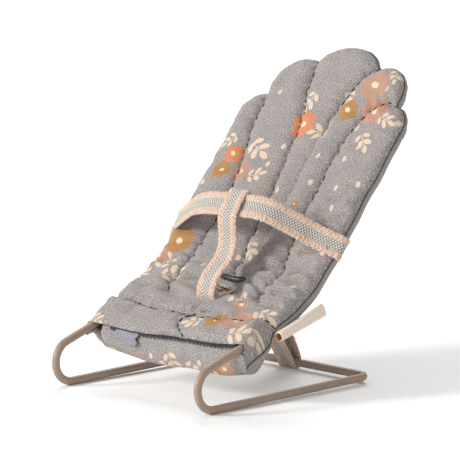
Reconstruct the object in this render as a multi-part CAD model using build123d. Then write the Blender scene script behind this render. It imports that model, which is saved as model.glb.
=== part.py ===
from build123d import *
import math
import os

# Doll-size bouncer seat. Millimetres, +Z up, front of the seat towards -Y.
# The origin is on the floor, at the centre of the floor frame.
# Side-view places are given as (run, rise): run is the distance along the upper wire from the
# front bend, and rise is the height above the wire's centre line, square to it.

# Bent wire frame
WIRE_D = 3.2
FRAME_WIDTH = 80.0
FLOOR_LENGTH = 94.3
FRONT_BEND_R = 8.3
REAR_CORNER_R = 4.5
SEAT_ANGLE = 18.0
SEAT_RUN = 36.8
HIP_R = 60.0
BACK_ANGLE = 50.5
HIP_MARGIN = 6.0
ARCH_R = 30.0
FLEX_GAP = 0.4

# Quilted cover
COVER_WIDTH = 88.0
COVER_TOP = 170.0
ARCH_DROP = 17.0
CLOTH_T = 0.6
LINING_T = 0.4
SEAT_PAD_T = 3.0
BACK_PAD_T = 1.8
WIRE_EASE = 0.4
LAYER_GAP = 0.1
COVER_FRONT = 12.0
CLOSURE_RUN = 30.0
CLOSURE_WIDTH = 72.0

# Scalloped top edge
CENTRE_NOTCH_X = 16.3
CENTRE_NOTCH_DROP = 8.6
SIDE_LOBE_X = 27.5
SIDE_LOBE_DROP = 7.8
SIDE_NOTCH_X = 34.5
SIDE_NOTCH_DROP = 25.0
SHOULDER_X = 40.8
SHOULDER_DROP = 27.4
SHOULDER_LENGTH = 11.0

# Front closure
STRIP_LENGTH = 66.0
STRIP_WIDTH = 5.0
STRIP_T = 0.5
STRIP_GAP = 0.3
POUCH_DEPTH = 14.0
POUCH_R = 4.0
FLAP_GAP = 0.7
HEM_THREAD_D = 0.8
HEM_START_X = -5.0

# Webbing straps
WEBBING_WIDTH = 10.0
WEBBING_T = 0.9
BELT_RUN = 80.5
BELT_RISE = 25.4
BELT_END_RISE = 1.6
BELT_SHOULDER_RISE = 6.6
BELT_FLAT = 44.0
BELT_CLEARANCE = 0.3
BELT_LEAN = 0.6
STRAP_X = 4.0
SLOT_RUN = 55.0
SLOT_SIDE_EASE = 1.0
SLOT_WIDTH = 2.6
STRAP_EASE = 0.55
STRAP_TAIL_DROP = 6.5
STRAP_LOOP_REACH = 17.0
STRAP_LOOP_RISE = 9.5
STRAP_KNEE_REACH = 5.0
STRAP_TAIL_LENGTH = 8.0
REAR_STRAP_X = -4.0
REAR_STRAP_SPREAD = 23.0
REAR_STRAP_STRAIGHT = 16.0
REAR_STRAP_RUN = 58.0

# Threads and label
THREAD_W = 0.5
THREAD_T = 0.3
LABEL_LENGTH = 30.0
LABEL_DEPTH = 4.5
LABEL_HEIGHT = 4.0
LABEL_T = 0.5
LABEL_RUN = 33.0
BARTACK_W = 9.0

# Worked out from the sizes above
WIRE_R = WIRE_D / 2
HALF_FRAME = FRAME_WIDTH / 2
HALF_COVER = COVER_WIDTH / 2
REAR_LIFT = WEBBING_T + 2 * LAYER_GAP
SLOT_LENGTH = WEBBING_WIDTH + 2 * SLOT_SIDE_EASE
BEND_Y = FRONT_BEND_R - FLOOR_LENGTH / 2
BEND_Z = WIRE_R + FRONT_BEND_R
FLOOR_TILT = math.degrees(math.atan(REAR_LIFT / (FLOOR_LENGTH - FRONT_BEND_R)))
HIP_TURN = BACK_ANGLE - SEAT_ANGLE
HIP_TANGENT = HIP_R * math.tan(math.radians(HIP_TURN / 2))
BACK_START = SEAT_RUN + HIP_R * math.radians(HIP_TURN)
FLAT_START = BACK_START + HIP_MARGIN
BACK_RUN = COVER_TOP - ARCH_DROP - BACK_START
UNDER_RISE = -(WIRE_R + WIRE_EASE + CLOTH_T)
LINING_RISE = WIRE_R + WIRE_EASE
SEAM_RISE = LINING_RISE + LINING_T
PAD_RISE = SEAM_RISE + LAYER_GAP
SEAT_TOP = PAD_RISE + SEAT_PAD_T + LAYER_GAP + CLOTH_T
BACK_TOP = PAD_RISE + BACK_PAD_T + LAYER_GAP + CLOTH_T


def direction(angle):
    """Unit vector in side view, as (Y, Z), at an angle up from +Y."""
    return Vector(math.cos(math.radians(angle)), math.sin(math.radians(angle)))


def on_seat(run, rise):
    """Side-view point beside the straight seat wire."""
    bend_end = Vector(BEND_Y, BEND_Z) + direction(SEAT_ANGLE + 90) * FRONT_BEND_R
    return bend_end + direction(SEAT_ANGLE) * run + direction(SEAT_ANGLE + 90) * rise


def on_back(run, rise):
    """Side-view point beside the straight backrest wire."""
    corner = on_seat(SEAT_RUN + HIP_TANGENT, 0)
    along = HIP_TANGENT + run - BACK_START
    return corner + direction(BACK_ANGLE) * along + direction(BACK_ANGLE + 90) * rise


def on_wire(run, rise):
    """Side-view point beside the wire, on the seat, the hip bend or the backrest."""
    if run <= SEAT_RUN:
        return on_seat(run, rise)
    if run >= BACK_START:
        return on_back(run, rise)
    turn = SEAT_ANGLE + math.degrees((run - SEAT_RUN) / HIP_R)
    centre = on_seat(SEAT_RUN, HIP_R)
    return centre - direction(turn + 90) * (HIP_R - rise)


def slope(run):
    """Angle of the wire at a place along it."""
    bent = math.degrees((run - SEAT_RUN) / HIP_R)
    return SEAT_ANGLE + min(max(bent, 0), HIP_TURN)


def hip_line(start, end, seat_rise, back_rise):
    """Side-view line beside the seat, round the hip and beside the backrest."""
    foot = on_seat(start, seat_rise)
    head = on_back(end, back_rise)
    reach = head - foot
    turn = math.sin(math.radians(HIP_TURN))
    along = reach.X * math.sin(math.radians(BACK_ANGLE)) - reach.Y * math.cos(math.radians(BACK_ANGLE))
    corner = foot + direction(SEAT_ANGLE) * (along / turn)
    return FilletPolyline(foot, corner, head, radius=HIP_R - (seat_rise + back_rise) / 2)


def side_solid(face, low_x, high_x):
    """Side-view face, given as (Y, Z), made solid from low_x to high_x."""
    return extrude(Plane.YZ.offset(low_x) * face, high_x - low_x)


def seat_bar(start, width, low, high, low_x, high_x):
    """Straight bar across the seat, beside the straight seat wire."""
    end = start + width
    corners = [on_seat(start, low), on_seat(end, low), on_seat(end, high), on_seat(start, high)]
    return side_solid(make_face(Polyline(*corners, close=True)), low_x, high_x)


def hip_band(start, low, high, low_x, high_x, end=FLAT_START):
    """Solid between two lines that follow the wire; low and high are (seat, back) rises."""
    under = hip_line(start, end, *low)
    over = hip_line(start, end, *high)
    face = make_face([under, over, Line(under @ 0, over @ 0), Line(under @ 1, over @ 1)])
    return side_solid(face, low_x, high_x)


def back_plane(rise):
    """Plane of the backrest: X across, Y up along the wire from the start of its flat part."""
    y, z, _ = on_back(FLAT_START, rise)
    lean = math.radians(BACK_ANGLE)
    return Plane(origin=(0, y, z), x_dir=(1, 0, 0), z_dir=(0, -math.sin(lean), math.cos(lean)))


def top_outline(inset):
    """Backrest outline with its five lobes, drawn in from the cover's edge by inset."""
    top = COVER_TOP - FLAT_START
    peak = (0, top)
    notch = (CENTRE_NOTCH_X, top - CENTRE_NOTCH_DROP)
    lobe = (SIDE_LOBE_X, top - SIDE_LOBE_DROP)
    side = (SIDE_NOTCH_X, top - SIDE_NOTCH_DROP)
    shoulder = (SHOULDER_X, top - SHOULDER_DROP)
    edge = (HALF_COVER, top - SIDE_NOTCH_DROP - SHOULDER_LENGTH)
    foot = (HALF_COVER, -HALF_COVER)
    right = [ThreePointArc(notch, lobe, side), ThreePointArc(side, shoulder, edge), Line(edge, foot)]
    left = [mirror(piece, about=Plane.YZ) for piece in right]
    crown = ThreePointArc((-notch[0], notch[1]), peak, notch)
    base = Line((-HALF_COVER, -HALF_COVER), foot)
    face = make_face([crown, base, *right, *left])
    if inset:
        face = offset(face, -inset, kind=Kind.ARC if inset > 0 else Kind.INTERSECTION)
    return face & Pos(0, COVER_TOP) * Rectangle(2 * COVER_WIDTH, 2 * COVER_TOP)


def cover_slab(start, low, high, inset):
    """One layer of the cover: hip band below and lobed outline above; rises are (seat, back)."""
    half = HALF_COVER - inset
    lower = hip_band(start, low, high, -half, half)
    upper = extrude(back_plane(low[1]) * top_outline(inset), high[1] - low[1])
    return lower + upper


def wire_plane(run, rise, x):
    """Plane square to the wire's side view at a place: X across, Y along the wire, Z rising."""
    y, z, _ = on_wire(run, rise)
    turn = math.radians(slope(run))
    return Plane(origin=(x, y, z), x_dir=(1, 0, 0), z_dir=(0, -math.sin(turn), math.cos(turn)))


def strap_slot():
    """Cutter for the slot that the crotch strap comes out of."""
    return wire_plane(SLOT_RUN, 0, STRAP_X) * Box(SLOT_LENGTH, SLOT_WIDTH, 4 * SEAT_TOP)


def front_cutter(run):
    """Cutter for everything in front of a place along the wire."""
    return wire_plane(run, 0, 0) * Pos(0, -COVER_TOP / 2) * Box(2 * COVER_WIDTH, COVER_TOP, COVER_WIDTH)


def rod(path):
    """Round wire along a path."""
    return sweep(Plane(origin=path @ 0, z_dir=path % 0) * Circle(WIRE_R), path=path)


def side_plane(x):
    """Plane for side-view drawing at a given X."""
    return Plane(origin=(x, 0, 0), x_dir=(0, 1, 0), z_dir=(1, 0, 0))


def bend_arc(x, start, sweep_angle):
    """Piece of the front bend at a given X."""
    return side_plane(x) * CenterArc((BEND_Y, BEND_Z), FRONT_BEND_R, start, sweep_angle)


def floor_frame():
    """Lower wire: two side runs, the rear crossbar and the lower half of each front bend."""
    cut = math.degrees(FLEX_GAP / 2 / FRONT_BEND_R)
    arc = bend_arc(-HALF_FRAME, 180 + cut, 90 - cut + FLOOR_TILT)
    tilt = math.radians(FLOOR_TILT)
    start = arc @ 1
    length = (FLOOR_LENGTH / 2 - start.Y) / math.cos(tilt)
    plane = Plane(origin=(0, start.Y, start.Z), x_dir=(1, 0, 0), z_dir=(0, -math.sin(tilt), math.cos(tilt)))
    corners = [(-HALF_FRAME, 0), (-HALF_FRAME, length), (0, length)]
    half = rod(Wire([arc, *(plane * FilletPolyline(*corners, radius=REAR_CORNER_R)).edges()]))
    return half + mirror(half, about=Plane.YZ)


def seat_frame():
    """Upper wire: upper half of each front bend, seat and backrest rails and the top arch."""
    cut = math.degrees(FLEX_GAP / 2 / FRONT_BEND_R)
    arc = bend_arc(-HALF_FRAME, 180 - cut, cut + SEAT_ANGLE - 90)
    rail = side_plane(-HALF_FRAME) * hip_line(0, FLAT_START, 0, 0)
    top = BACK_RUN - HIP_MARGIN
    corners = [(-HALF_FRAME, 0), (-HALF_FRAME, top), (0, top)]
    arch = back_plane(0) * FilletPolyline(*corners, radius=ARCH_R)
    half = rod(Wire([arc, *rail.edges(), *arch.edges()]))
    return half + mirror(half, about=Plane.YZ)


def back_panel():
    """Rear cloth, turned up round the wires to the seam; its front is open for the legs."""
    under = (UNDER_RISE, UNDER_RISE)
    inner = (UNDER_RISE + CLOTH_T, UNDER_RISE + CLOTH_T)
    seam = (SEAM_RISE, SEAM_RISE)
    tray = cover_slab(COVER_FRONT, under, seam, 0)
    tray -= cover_slab(COVER_FRONT - CLOTH_T, inner, (SEAM_RISE + CLOTH_T,) * 2, CLOTH_T)
    mouth = (UNDER_RISE - CLOTH_T, 0)
    half = CLOSURE_WIDTH / 2 + FLAP_GAP
    return tray - seat_bar(COVER_FRONT - CLOTH_T, CLOSURE_RUN - COVER_FRONT + CLOTH_T, *mouth, -half, half)


def front_panel():
    """Printed top cloth, turned down all round to the seam."""
    foot = (SEAM_RISE + LAYER_GAP,) * 2
    outer = cover_slab(COVER_FRONT, foot, (SEAT_TOP, BACK_TOP), 0)
    below = (SEAM_RISE - CLOTH_T,) * 2
    inner = cover_slab(COVER_FRONT + CLOTH_T, below, (SEAT_TOP - CLOTH_T, BACK_TOP - CLOTH_T), CLOTH_T)
    return outer - inner - strap_slot()


def wadding():
    """Soft filling between the top cloth and its lining."""
    inset = CLOTH_T + LAYER_GAP
    low = (PAD_RISE, PAD_RISE)
    high = (PAD_RISE + SEAT_PAD_T, PAD_RISE + BACK_PAD_T)
    return cover_slab(COVER_FRONT + inset, low, high, inset) - strap_slot()


def lining():
    """Plain cloth under the filling, next to the wires."""
    inset = CLOTH_T + LAYER_GAP
    slab = cover_slab(COVER_FRONT + inset, (LINING_RISE,) * 2, (SEAM_RISE,) * 2, inset)
    return slab - strap_slot()


def edge_seam_thread():
    """Stitching round the cover where the top cloth meets the rear cloth."""
    low = (SEAM_RISE - THREAD_W / 2,) * 2
    high = (SEAM_RISE + THREAD_W / 2,) * 2
    outer = cover_slab(COVER_FRONT + CLOTH_T, low, high, -THREAD_T)
    inner = cover_slab(COVER_FRONT, (low[0] - 1, low[1] - 1), (high[0] + 1, high[1] + 1), 0)
    return outer - inner


def soft_radius(points):
    """Largest easy radius at the middle one of three points."""
    before = Vector(*points[1]) - Vector(*points[0])
    after = Vector(*points[2]) - Vector(*points[1])
    turn = math.radians(before.get_angle(after))
    return 0.45 * min(before.length, after.length) / math.tan(turn / 2)


def quilt_thread(start, points):
    """Line of quilting: straight over the hip at points[0], then up the backrest."""
    x = points[0][0]
    low = (SEAT_TOP, BACK_TOP)
    high = (SEAT_TOP + THREAD_T, BACK_TOP + THREAD_T)
    lower = hip_band(COVER_FRONT, low, high, x - THREAD_W / 2, x + THREAD_W / 2) - front_cutter(start)
    line = FilletPolyline(*points, radius=soft_radius(points))
    upper = extrude(back_plane(BACK_TOP) * trace(line, THREAD_W), THREAD_T)
    return lower + upper


def quilt_threads():
    """The four long lines of quilting, which fan out to the notches between the lobes."""
    top = COVER_TOP - FLAT_START
    centre = top - CENTRE_NOTCH_DROP - CLOTH_T
    side = top - SIDE_NOTCH_DROP - CLOTH_T
    slot_edge = SLOT_RUN + SLOT_WIDTH / 2 + CLOTH_T
    low_run = CLOSURE_RUN + WEBBING_WIDTH
    left = [(-25, 0), (-25.5, 0.45 * side), (-SIDE_NOTCH_X + 1, side)]
    centre_left = [(0, 0), (-6, 0.65 * centre), (-CENTRE_NOTCH_X, centre)]
    centre_right = [(7, 0), (7.5, 0.75 * centre), (CENTRE_NOTCH_X, centre)]
    right = [(21, 0), (19, 0.8 * side), (SIDE_NOTCH_X - 1, side)]
    return {
        "quilt_thread_left": quilt_thread(low_run, left),
        "quilt_thread_centre_left": quilt_thread(slot_edge, centre_left),
        "quilt_thread_centre_right": quilt_thread(slot_edge, centre_right),
        "quilt_thread_right": quilt_thread(low_run, right),
    }


def cross_thread():
    """Line of quilting across the front of the seat."""
    half = HALF_COVER - CLOTH_T
    return seat_bar(CLOSURE_RUN, THREAD_W, SEAT_TOP, SEAT_TOP + THREAD_T, -half, half)


def front_thread():
    """Short line of quilting from the cross line to the front fold."""
    run = CLOSURE_RUN - COVER_FRONT - 2 * THREAD_W
    low_x = STRAP_X
    return seat_bar(COVER_FRONT + THREAD_W, run, SEAT_TOP, SEAT_TOP + THREAD_T, low_x, low_x + THREAD_W)


def hem_thread():
    """Overlocked edge under the front fold."""
    high_x = HALF_FRAME - WIRE_R - WIRE_EASE
    high = LINING_RISE - LAYER_GAP
    return seat_bar(COVER_FRONT, HEM_THREAD_D, high - HEM_THREAD_D, high, HEM_START_X, high_x)


def slot_thread():
    """Overlocked edge on the upper side of the strap slot."""
    place = wire_plane(SLOT_RUN + SLOT_WIDTH / 2, SEAT_TOP, STRAP_X)
    return place * Pos(0, THREAD_W, THREAD_T) * Box(SLOT_LENGTH, THREAD_W, THREAD_T)


def loop_strip():
    """Loop side of the fastening, sewn under the lining at the front fold."""
    high = LINING_RISE - LAYER_GAP
    start = COVER_FRONT + 2 * HEM_THREAD_D
    return seat_bar(start, STRIP_WIDTH, high - STRIP_T, high, -STRIP_LENGTH / 2, STRIP_LENGTH / 2)


def hook_rise():
    """Rise of the hook strip's lower face."""
    return LINING_RISE - LAYER_GAP - 2 * STRIP_T - STRIP_GAP


def hook_strip():
    """Hook side of the fastening, on the closure flap."""
    low = hook_rise()
    start = COVER_FRONT + 2 * HEM_THREAD_D
    return seat_bar(start, STRIP_WIDTH, low, low + STRIP_T, -STRIP_LENGTH / 2, STRIP_LENGTH / 2)


def closure_flap():
    """Rear cloth's front end, which hangs in a pouch and folds up to fasten at the front."""
    rise = hook_rise() - CLOTH_T / 2
    start = COVER_FRONT + 2 * HEM_THREAD_D
    hinge = on_seat(CLOSURE_RUN - FLAP_GAP, UNDER_RISE + CLOTH_T / 2)
    points = [
        hinge,
        on_seat(CLOSURE_RUN - POUCH_R, UNDER_RISE - POUCH_DEPTH * 0.7),
        on_seat(CLOSURE_RUN - 3 * POUCH_R, UNDER_RISE - POUCH_DEPTH),
        on_seat(COVER_FRONT - 1, rise),
        on_seat(start + STRIP_WIDTH, rise),
    ]
    line = FilletPolyline(*points, radius=[POUCH_R, POUCH_R, HEM_THREAD_D])
    half = CLOSURE_WIDTH / 2
    return side_solid(trace(line, CLOTH_T), -half, half)


def belt_line():
    """Belt's middle line in the plane across the seat, as (X, rise)."""
    shoulder_x = HALF_COVER + BELT_CLEARANCE + WEBBING_T / 2
    end_x = shoulder_x + BELT_LEAN
    right = [(BELT_FLAT / 2, BELT_RISE), (shoulder_x, BELT_SHOULDER_RISE), (end_x, BELT_END_RISE)]
    left = [(-x, rise) for x, rise in reversed(right)]
    return FilletPolyline(*left, *right, radius=[2, 22, 22, 2])


def waist_belt():
    """Waist belt, sewn at both sides of the backrest and arched clear of the seat."""
    y, z, _ = on_back(BELT_RUN, 0)
    lean = math.radians(BACK_ANGLE)
    across = Plane(origin=(0, y, z), x_dir=(1, 0, 0), z_dir=(0, -math.cos(lean), -math.sin(lean)))
    return extrude(across * trace(belt_line(), WEBBING_T), WEBBING_WIDTH / 2, both=True)


def crotch_strap():
    """Webbing from the slot, forward, back up and round the belt, with its end sewn to itself."""
    over = BELT_RISE + WEBBING_T + STRAP_EASE
    under = BELT_RISE - 2 * WEBBING_T - STRAP_EASE
    front = BELT_RUN - WEBBING_WIDTH / 2
    rear = BELT_RUN + WEBBING_WIDTH / 2 + WEBBING_T / 2 + STRAP_EASE
    surface = SEAT_TOP + WEBBING_T
    points = [
        on_wire(SLOT_RUN, WIRE_R),
        on_wire(SLOT_RUN, surface + 1.5 * WEBBING_T),
        on_wire(SLOT_RUN - STRAP_LOOP_REACH, surface),
        on_wire(SLOT_RUN - STRAP_LOOP_REACH / 2, surface + STRAP_LOOP_RISE),
        on_wire(SLOT_RUN + STRAP_KNEE_REACH, surface + STRAP_LOOP_RISE),
        on_back(front, over),
        on_back(rear, over),
        on_back(rear, under),
        on_back(front, under),
        on_back(front - STRAP_TAIL_LENGTH, under - STRAP_TAIL_DROP),
    ]
    line = FilletPolyline(*points, radius=[1.2, 2.4, 6, 8, 4, 1.3, 1.3, 4])
    half = WEBBING_WIDTH / 2
    return side_solid(trace(line, WEBBING_T), STRAP_X - half, STRAP_X + half)


def rear_strap():
    """Webbing loop round the rear crossbar, with both ends at the seat's underside."""
    bar = Vector(FLOOR_LENGTH / 2, WIRE_R + REAR_LIFT)
    radius = WIRE_R + LAYER_GAP + WEBBING_T / 2
    spread = REAR_STRAP_SPREAD / 2
    sewn = on_wire(REAR_STRAP_RUN, UNDER_RISE) - bar
    front = math.degrees(math.atan2(sewn.Y, sewn.X))
    middle = front - spread
    corner = bar - direction(middle) * (radius / math.sin(math.radians(spread)))
    past_bar = radius / math.tan(math.radians(spread))
    front_end = corner + direction(front) * (past_bar + sewn.length)
    knee = corner + direction(front - REAR_STRAP_SPREAD) * (past_bar + REAR_STRAP_STRAIGHT)
    aim = on_wire(REAR_STRAP_RUN + 2 * WEBBING_T, 0)
    back_end = aim + (aim - knee).normalized() * WEBBING_WIDTH
    line = FilletPolyline(front_end, corner, knee, back_end, radius=[radius, WEBBING_WIDTH])
    half = WEBBING_WIDTH / 2
    loop = side_solid(trace(line, WEBBING_T), REAR_STRAP_X - half, REAR_STRAP_X + half)
    rise = UNDER_RISE - LAYER_GAP
    seat = hip_band(0, (rise, rise), (COVER_WIDTH / 2,) * 2, -HALF_COVER, HALF_COVER, COVER_TOP)
    return loop - seat


def bartack(run, rise, x):
    """Short dense row of stitches across a strap, square to the wire."""
    return wire_plane(run, rise, x) * Box(BARTACK_W, 2 * THREAD_W, THREAD_T)


def belt_bartack(side):
    """Stitches that hold one belt end at the side seam; side is -1 or 1."""
    high = SEAM_RISE - THREAD_W / 2 - LAYER_GAP
    corners = [
        on_back(BELT_RUN - BARTACK_W / 2, 0),
        on_back(BELT_RUN + BARTACK_W / 2, 0),
        on_back(BELT_RUN + BARTACK_W / 2, high),
        on_back(BELT_RUN - BARTACK_W / 2, high),
    ]
    face = make_face(Polyline(*corners, close=True))
    low_x = HALF_COVER if side > 0 else -HALF_COVER - THREAD_T
    return side_solid(face, low_x, low_x + THREAD_T)


def label_tab():
    """Blank woven tab folded into a loop, beside the right side seam."""
    y, z, _ = on_seat(LABEL_RUN, -LABEL_HEIGHT / 2 + LABEL_T)
    turn = math.radians(SEAT_ANGLE)
    low_x = HALF_COVER + THREAD_T + LAYER_GAP + LABEL_DEPTH / 2
    place = Plane(origin=(low_x, y, z), x_dir=(1, 0, 0), z_dir=(0, math.cos(turn), math.sin(turn)))
    outer = RectangleRounded(LABEL_DEPTH, LABEL_HEIGHT, LABEL_HEIGHT * 0.3)
    inner = RectangleRounded(LABEL_DEPTH - 2 * LABEL_T, LABEL_HEIGHT - 2 * LABEL_T, LABEL_HEIGHT * 0.2)
    return extrude(place * (outer - inner), LABEL_LENGTH)


def main():
    nodes = {
        "floor_frame": floor_frame(),
        "seat_frame": seat_frame(),
        "front_panel": front_panel(),
        "wadding": wadding(),
        "lining": lining(),
        "back_panel": back_panel(),
        "edge_seam_thread": edge_seam_thread(),
        "cross_thread": cross_thread(),
        "front_thread": front_thread(),
        "hem_thread": hem_thread(),
        "slot_thread": slot_thread(),
        "loop_strip": loop_strip(),
        "hook_strip": hook_strip(),
        "closure_flap": closure_flap(),
        "waist_belt": waist_belt(),
        "belt_bartack_left": belt_bartack(-1),
        "belt_bartack_right": belt_bartack(1),
        "crotch_strap": crotch_strap(),
        "crotch_bartack": bartack(SLOT_RUN, WIRE_R - WEBBING_T - THREAD_T, STRAP_X),
        "rear_strap": rear_strap(),
        "rear_bartack": bartack(REAR_STRAP_RUN - 2, UNDER_RISE + CLOTH_T + THREAD_T, REAR_STRAP_X),
        "label_tab": label_tab(),
    }
    nodes.update(quilt_threads())
    os.makedirs("parts", exist_ok=True)
    for name, solid in nodes.items():
        export_step(solid, f"parts/{name}.step")


main()
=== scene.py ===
import bmesh
import bpy
import math
import numpy as np
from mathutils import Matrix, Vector, kdtree, noise
from mathutils.geometry import delaunay_2d_cdt


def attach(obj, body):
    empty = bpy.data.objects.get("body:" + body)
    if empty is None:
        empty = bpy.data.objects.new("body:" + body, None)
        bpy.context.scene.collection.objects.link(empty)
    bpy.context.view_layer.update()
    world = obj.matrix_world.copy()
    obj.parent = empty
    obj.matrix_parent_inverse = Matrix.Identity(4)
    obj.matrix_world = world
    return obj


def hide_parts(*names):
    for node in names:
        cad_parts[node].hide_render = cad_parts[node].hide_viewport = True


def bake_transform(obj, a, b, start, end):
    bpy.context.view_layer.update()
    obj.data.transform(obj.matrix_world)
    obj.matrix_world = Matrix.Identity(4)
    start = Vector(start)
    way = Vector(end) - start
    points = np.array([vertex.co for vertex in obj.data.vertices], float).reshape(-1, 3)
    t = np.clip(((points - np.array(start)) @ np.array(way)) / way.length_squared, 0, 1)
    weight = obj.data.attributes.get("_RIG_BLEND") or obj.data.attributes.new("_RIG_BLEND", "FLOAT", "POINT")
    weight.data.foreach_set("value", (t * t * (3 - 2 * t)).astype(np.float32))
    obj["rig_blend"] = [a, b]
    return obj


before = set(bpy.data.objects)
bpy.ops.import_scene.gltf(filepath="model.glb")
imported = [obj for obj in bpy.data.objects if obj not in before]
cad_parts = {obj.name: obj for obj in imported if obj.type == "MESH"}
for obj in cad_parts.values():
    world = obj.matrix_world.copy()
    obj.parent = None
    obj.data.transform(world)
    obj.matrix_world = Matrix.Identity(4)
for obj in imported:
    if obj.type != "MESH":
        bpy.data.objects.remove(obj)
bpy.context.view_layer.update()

bl_info = {
    "name": "Doll bouncer seat",
    "version": (1, 0, 0),
    "blender": (4, 5, 0),
    "location": "View3D > Sidebar > Bouncer",
    "description": "Builds a doll-size bouncer seat: wire frame, quilted cover, straps and stitching",
    "category": "Add Mesh",
}

# The wire's side view, in millimetres and degrees. Places beside the wire are (x, run, rise): run is the
# distance along the upper wire from its front bend, rise is square to it.
MM = 0.001
HALF_FRAME = 40.0
BEND_R = 8.3
BEND_Y = -38.85
BEND_Z = 9.9
REAR_Y = 47.15
REAR_Z = 2.7
CORNER_R = 4.5
SEAT_ANGLE = math.radians(18.0)
BACK_ANGLE = math.radians(50.5)
SEAT_RUN = 36.8
HIP_R = 60.0
BACK_START = SEAT_RUN + HIP_R * (BACK_ANGLE - SEAT_ANGLE)
SEAT_Y = BEND_Y - BEND_R * math.sin(SEAT_ANGLE)
SEAT_Z = BEND_Z + BEND_R * math.cos(SEAT_ANGLE)
ARCH_RUN = 153.0
ARCH_R = 30.0

# The cover's outline and shape
OUTLINE_STEP = 0.5
FRONT_POINTS = 174
HALF_COVER = 44.0
COVER_TOP = 170.0
SHOULDER_RUN = 134.0
LEFT_SHOULDER_RUN = 130.0
SLOT_X = 4.0
SLOT_RUN = 56.5
SLOT_HALF = (6.0, 0.75)
SEAM_RUNS = (11.5, 16.2, 20.0, 26.0, 29.7, 32.2, 35.0, 40.0)
SEAM_RISES = (-7.3, -6.2, -5.3, -4.3, -3.5, -1.0, 1.6, 2.3)
CROWN_RUNS = (12, 18, 23, 29, 40, 60, 80, 110, 170)
CROWN_RISES = (2.4, 3.6, 5.2, 6.6, 7.0, 6.8, 6.2, 5.9, 5.7)

# The rear cloth: its level under the wires, and its opening for the closure between the legs
REAR_LEVEL = -2.7
REAR_HIGHEST = -2.45
OPENING_HALF = 37.2
OPENING_RUN = 30.5
REAR_WALL = 0.45
FLAP_WALL = 0.5
TAPE_WALL = 0.4

# The closing flap: its half width, the spacing of its columns and its points from fold to hinge
FLAP_HALF = 42.4
FLAP_STEP = 0.8
FLAP_ROWS = 54
HINGE_Y = -12.7

# The quilting stitches: height over the cloth, thickness, and each one's share of the pitch
STITCH_LIFT = 0.2
STITCH_THICK = 0.72
STITCH_SHARE = 0.76

# The straps
BELT_RUN = 80.5
STRAP_STEP = 0.35
CROSSBAR_R = 2.15

# The floor's radius in metres, and the camera in degrees, millimetres and metres
FLOOR_R = 8.0
CAMERA_AZIMUTH = 45.26
CAMERA_ELEVATION = 9.90
CAMERA_AIM = (0, 12.85, 55)
CAMERA_AWAY = 2.0002

# Quilting seams as (x, run) places, with how deep each one pulls
QUILTING = {
    "left": (1.0, ((-33.5, 141), (-32.5, 132), (-30.5, 121), (-28, 112), (-26.5, 104), (-25, 94), (-25, 70),
                   (-25, 50), (-22, 42))),
    "centre_left": (1.0, ((-16.3, 161), (-13.6, 147), (-10.7, 141), (-8.6, 134), (-6.5, 122), (-5, 111),
                          (-3, 96), (-1, 76), (0.6, 66), (1.2, 60))),
    "centre_right": (1.0, ((16.4, 161.5), (13.4, 158), (10.2, 152), (7.4, 138), (7, 128))),
    "valley": (0.45, ((7, 128), (7.2, 110), (7.5, 90), (7.5, 70))),
    "right": (1.0, ((34.6, 146), (31, 147), (26.2, 143), (22.2, 138), (20, 131), (19, 120), (18.6, 110),
                    (19, 98), (22, 75), (25, 62), (24, 49), (26, 46))),
    "cross": (0.8, ((-43.4, 32), (-34, 30.5), (-25, 29), (-10, 28.6), (5, 28.6), (20, 30), (32, 32),
                    (43.4, 34))),
    "front": (0.6, ((10.5, 33), (6, 30), (2.8, 27), (2.6, 22.5), (5, 20), (8.5, 17.8))),
}
SEWN = ("left", "centre_left", "centre_right", "right", "cross", "front")

# Creases as (x, run) from and to, depth and half width
CREASES = (((9, 57), (30, 49), 1.2, 1.6), ((10, 61), (25, 68), 1.1, 1.7), ((8, 64), (16, 80), 0.8, 1.6),
           ((-3, 58), (-20, 50), 1.0, 1.6), ((-2, 62), (-14, 72), 0.8, 1.6), ((12, 50), (26, 39), 0.9, 1.6),
           ((27, 52), (43, 50), 1.2, 1.6), ((26, 74), (43, 78), 1.0, 1.6), ((24, 92), (36, 97), 0.7, 1.6),
           ((-42, 42), (-8, 41), 0.9, 1.6), ((-42, 59), (-27, 60), 0.8, 1.5), ((26, 59), (43, 60), 0.9, 1.6),
           ((24, 68), (43, 70), 0.7, 1.8), ((-22, 52), (-8, 53), 0.6, 1.6), ((12, 40), (30, 44), 0.6, 1.6),
           ((30, 84), (43, 88), 0.5, 1.8), ((-43, 76), (-30, 78), 0.5, 1.6), ((8, 118), (17, 120), 0.35, 1.6),
           ((-24, 86), (-8, 84), 0.4, 2.0), ((-43, 104), (-31, 106), 0.35, 1.6),
           ((22, 124), (36, 126), 0.35, 1.8), ((27, 63), (44, 67), 1.1, 1.3), ((30, 88), (44, 94), 0.9, 1.4),
           ((25, 100), (44, 103), 0.6, 1.5), ((26, 44), (44, 41), 1.0, 1.4))


# ---------------------------------------------------------------- places on the seat

def side_point(run, rise):
    """(y, z) in millimetres beside the upper wire, for numbers or arrays."""
    run = np.asarray(run, float)
    rise = np.asarray(rise, float)
    turn = SEAT_ANGLE + np.clip((run - SEAT_RUN) / HIP_R, 0, BACK_ANGLE - SEAT_ANGLE)
    first = np.minimum(run, SEAT_RUN)
    last = np.maximum(run - BACK_START, 0)
    y = SEAT_Y + math.cos(SEAT_ANGLE) * first + HIP_R * (np.sin(turn) - math.sin(SEAT_ANGLE))
    z = SEAT_Z + math.sin(SEAT_ANGLE) * first + HIP_R * (math.cos(SEAT_ANGLE) - np.cos(turn))
    y = y + math.cos(BACK_ANGLE) * last - np.sin(turn) * rise
    z = z + math.sin(BACK_ANGLE) * last + np.cos(turn) * rise
    return y, z


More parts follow.
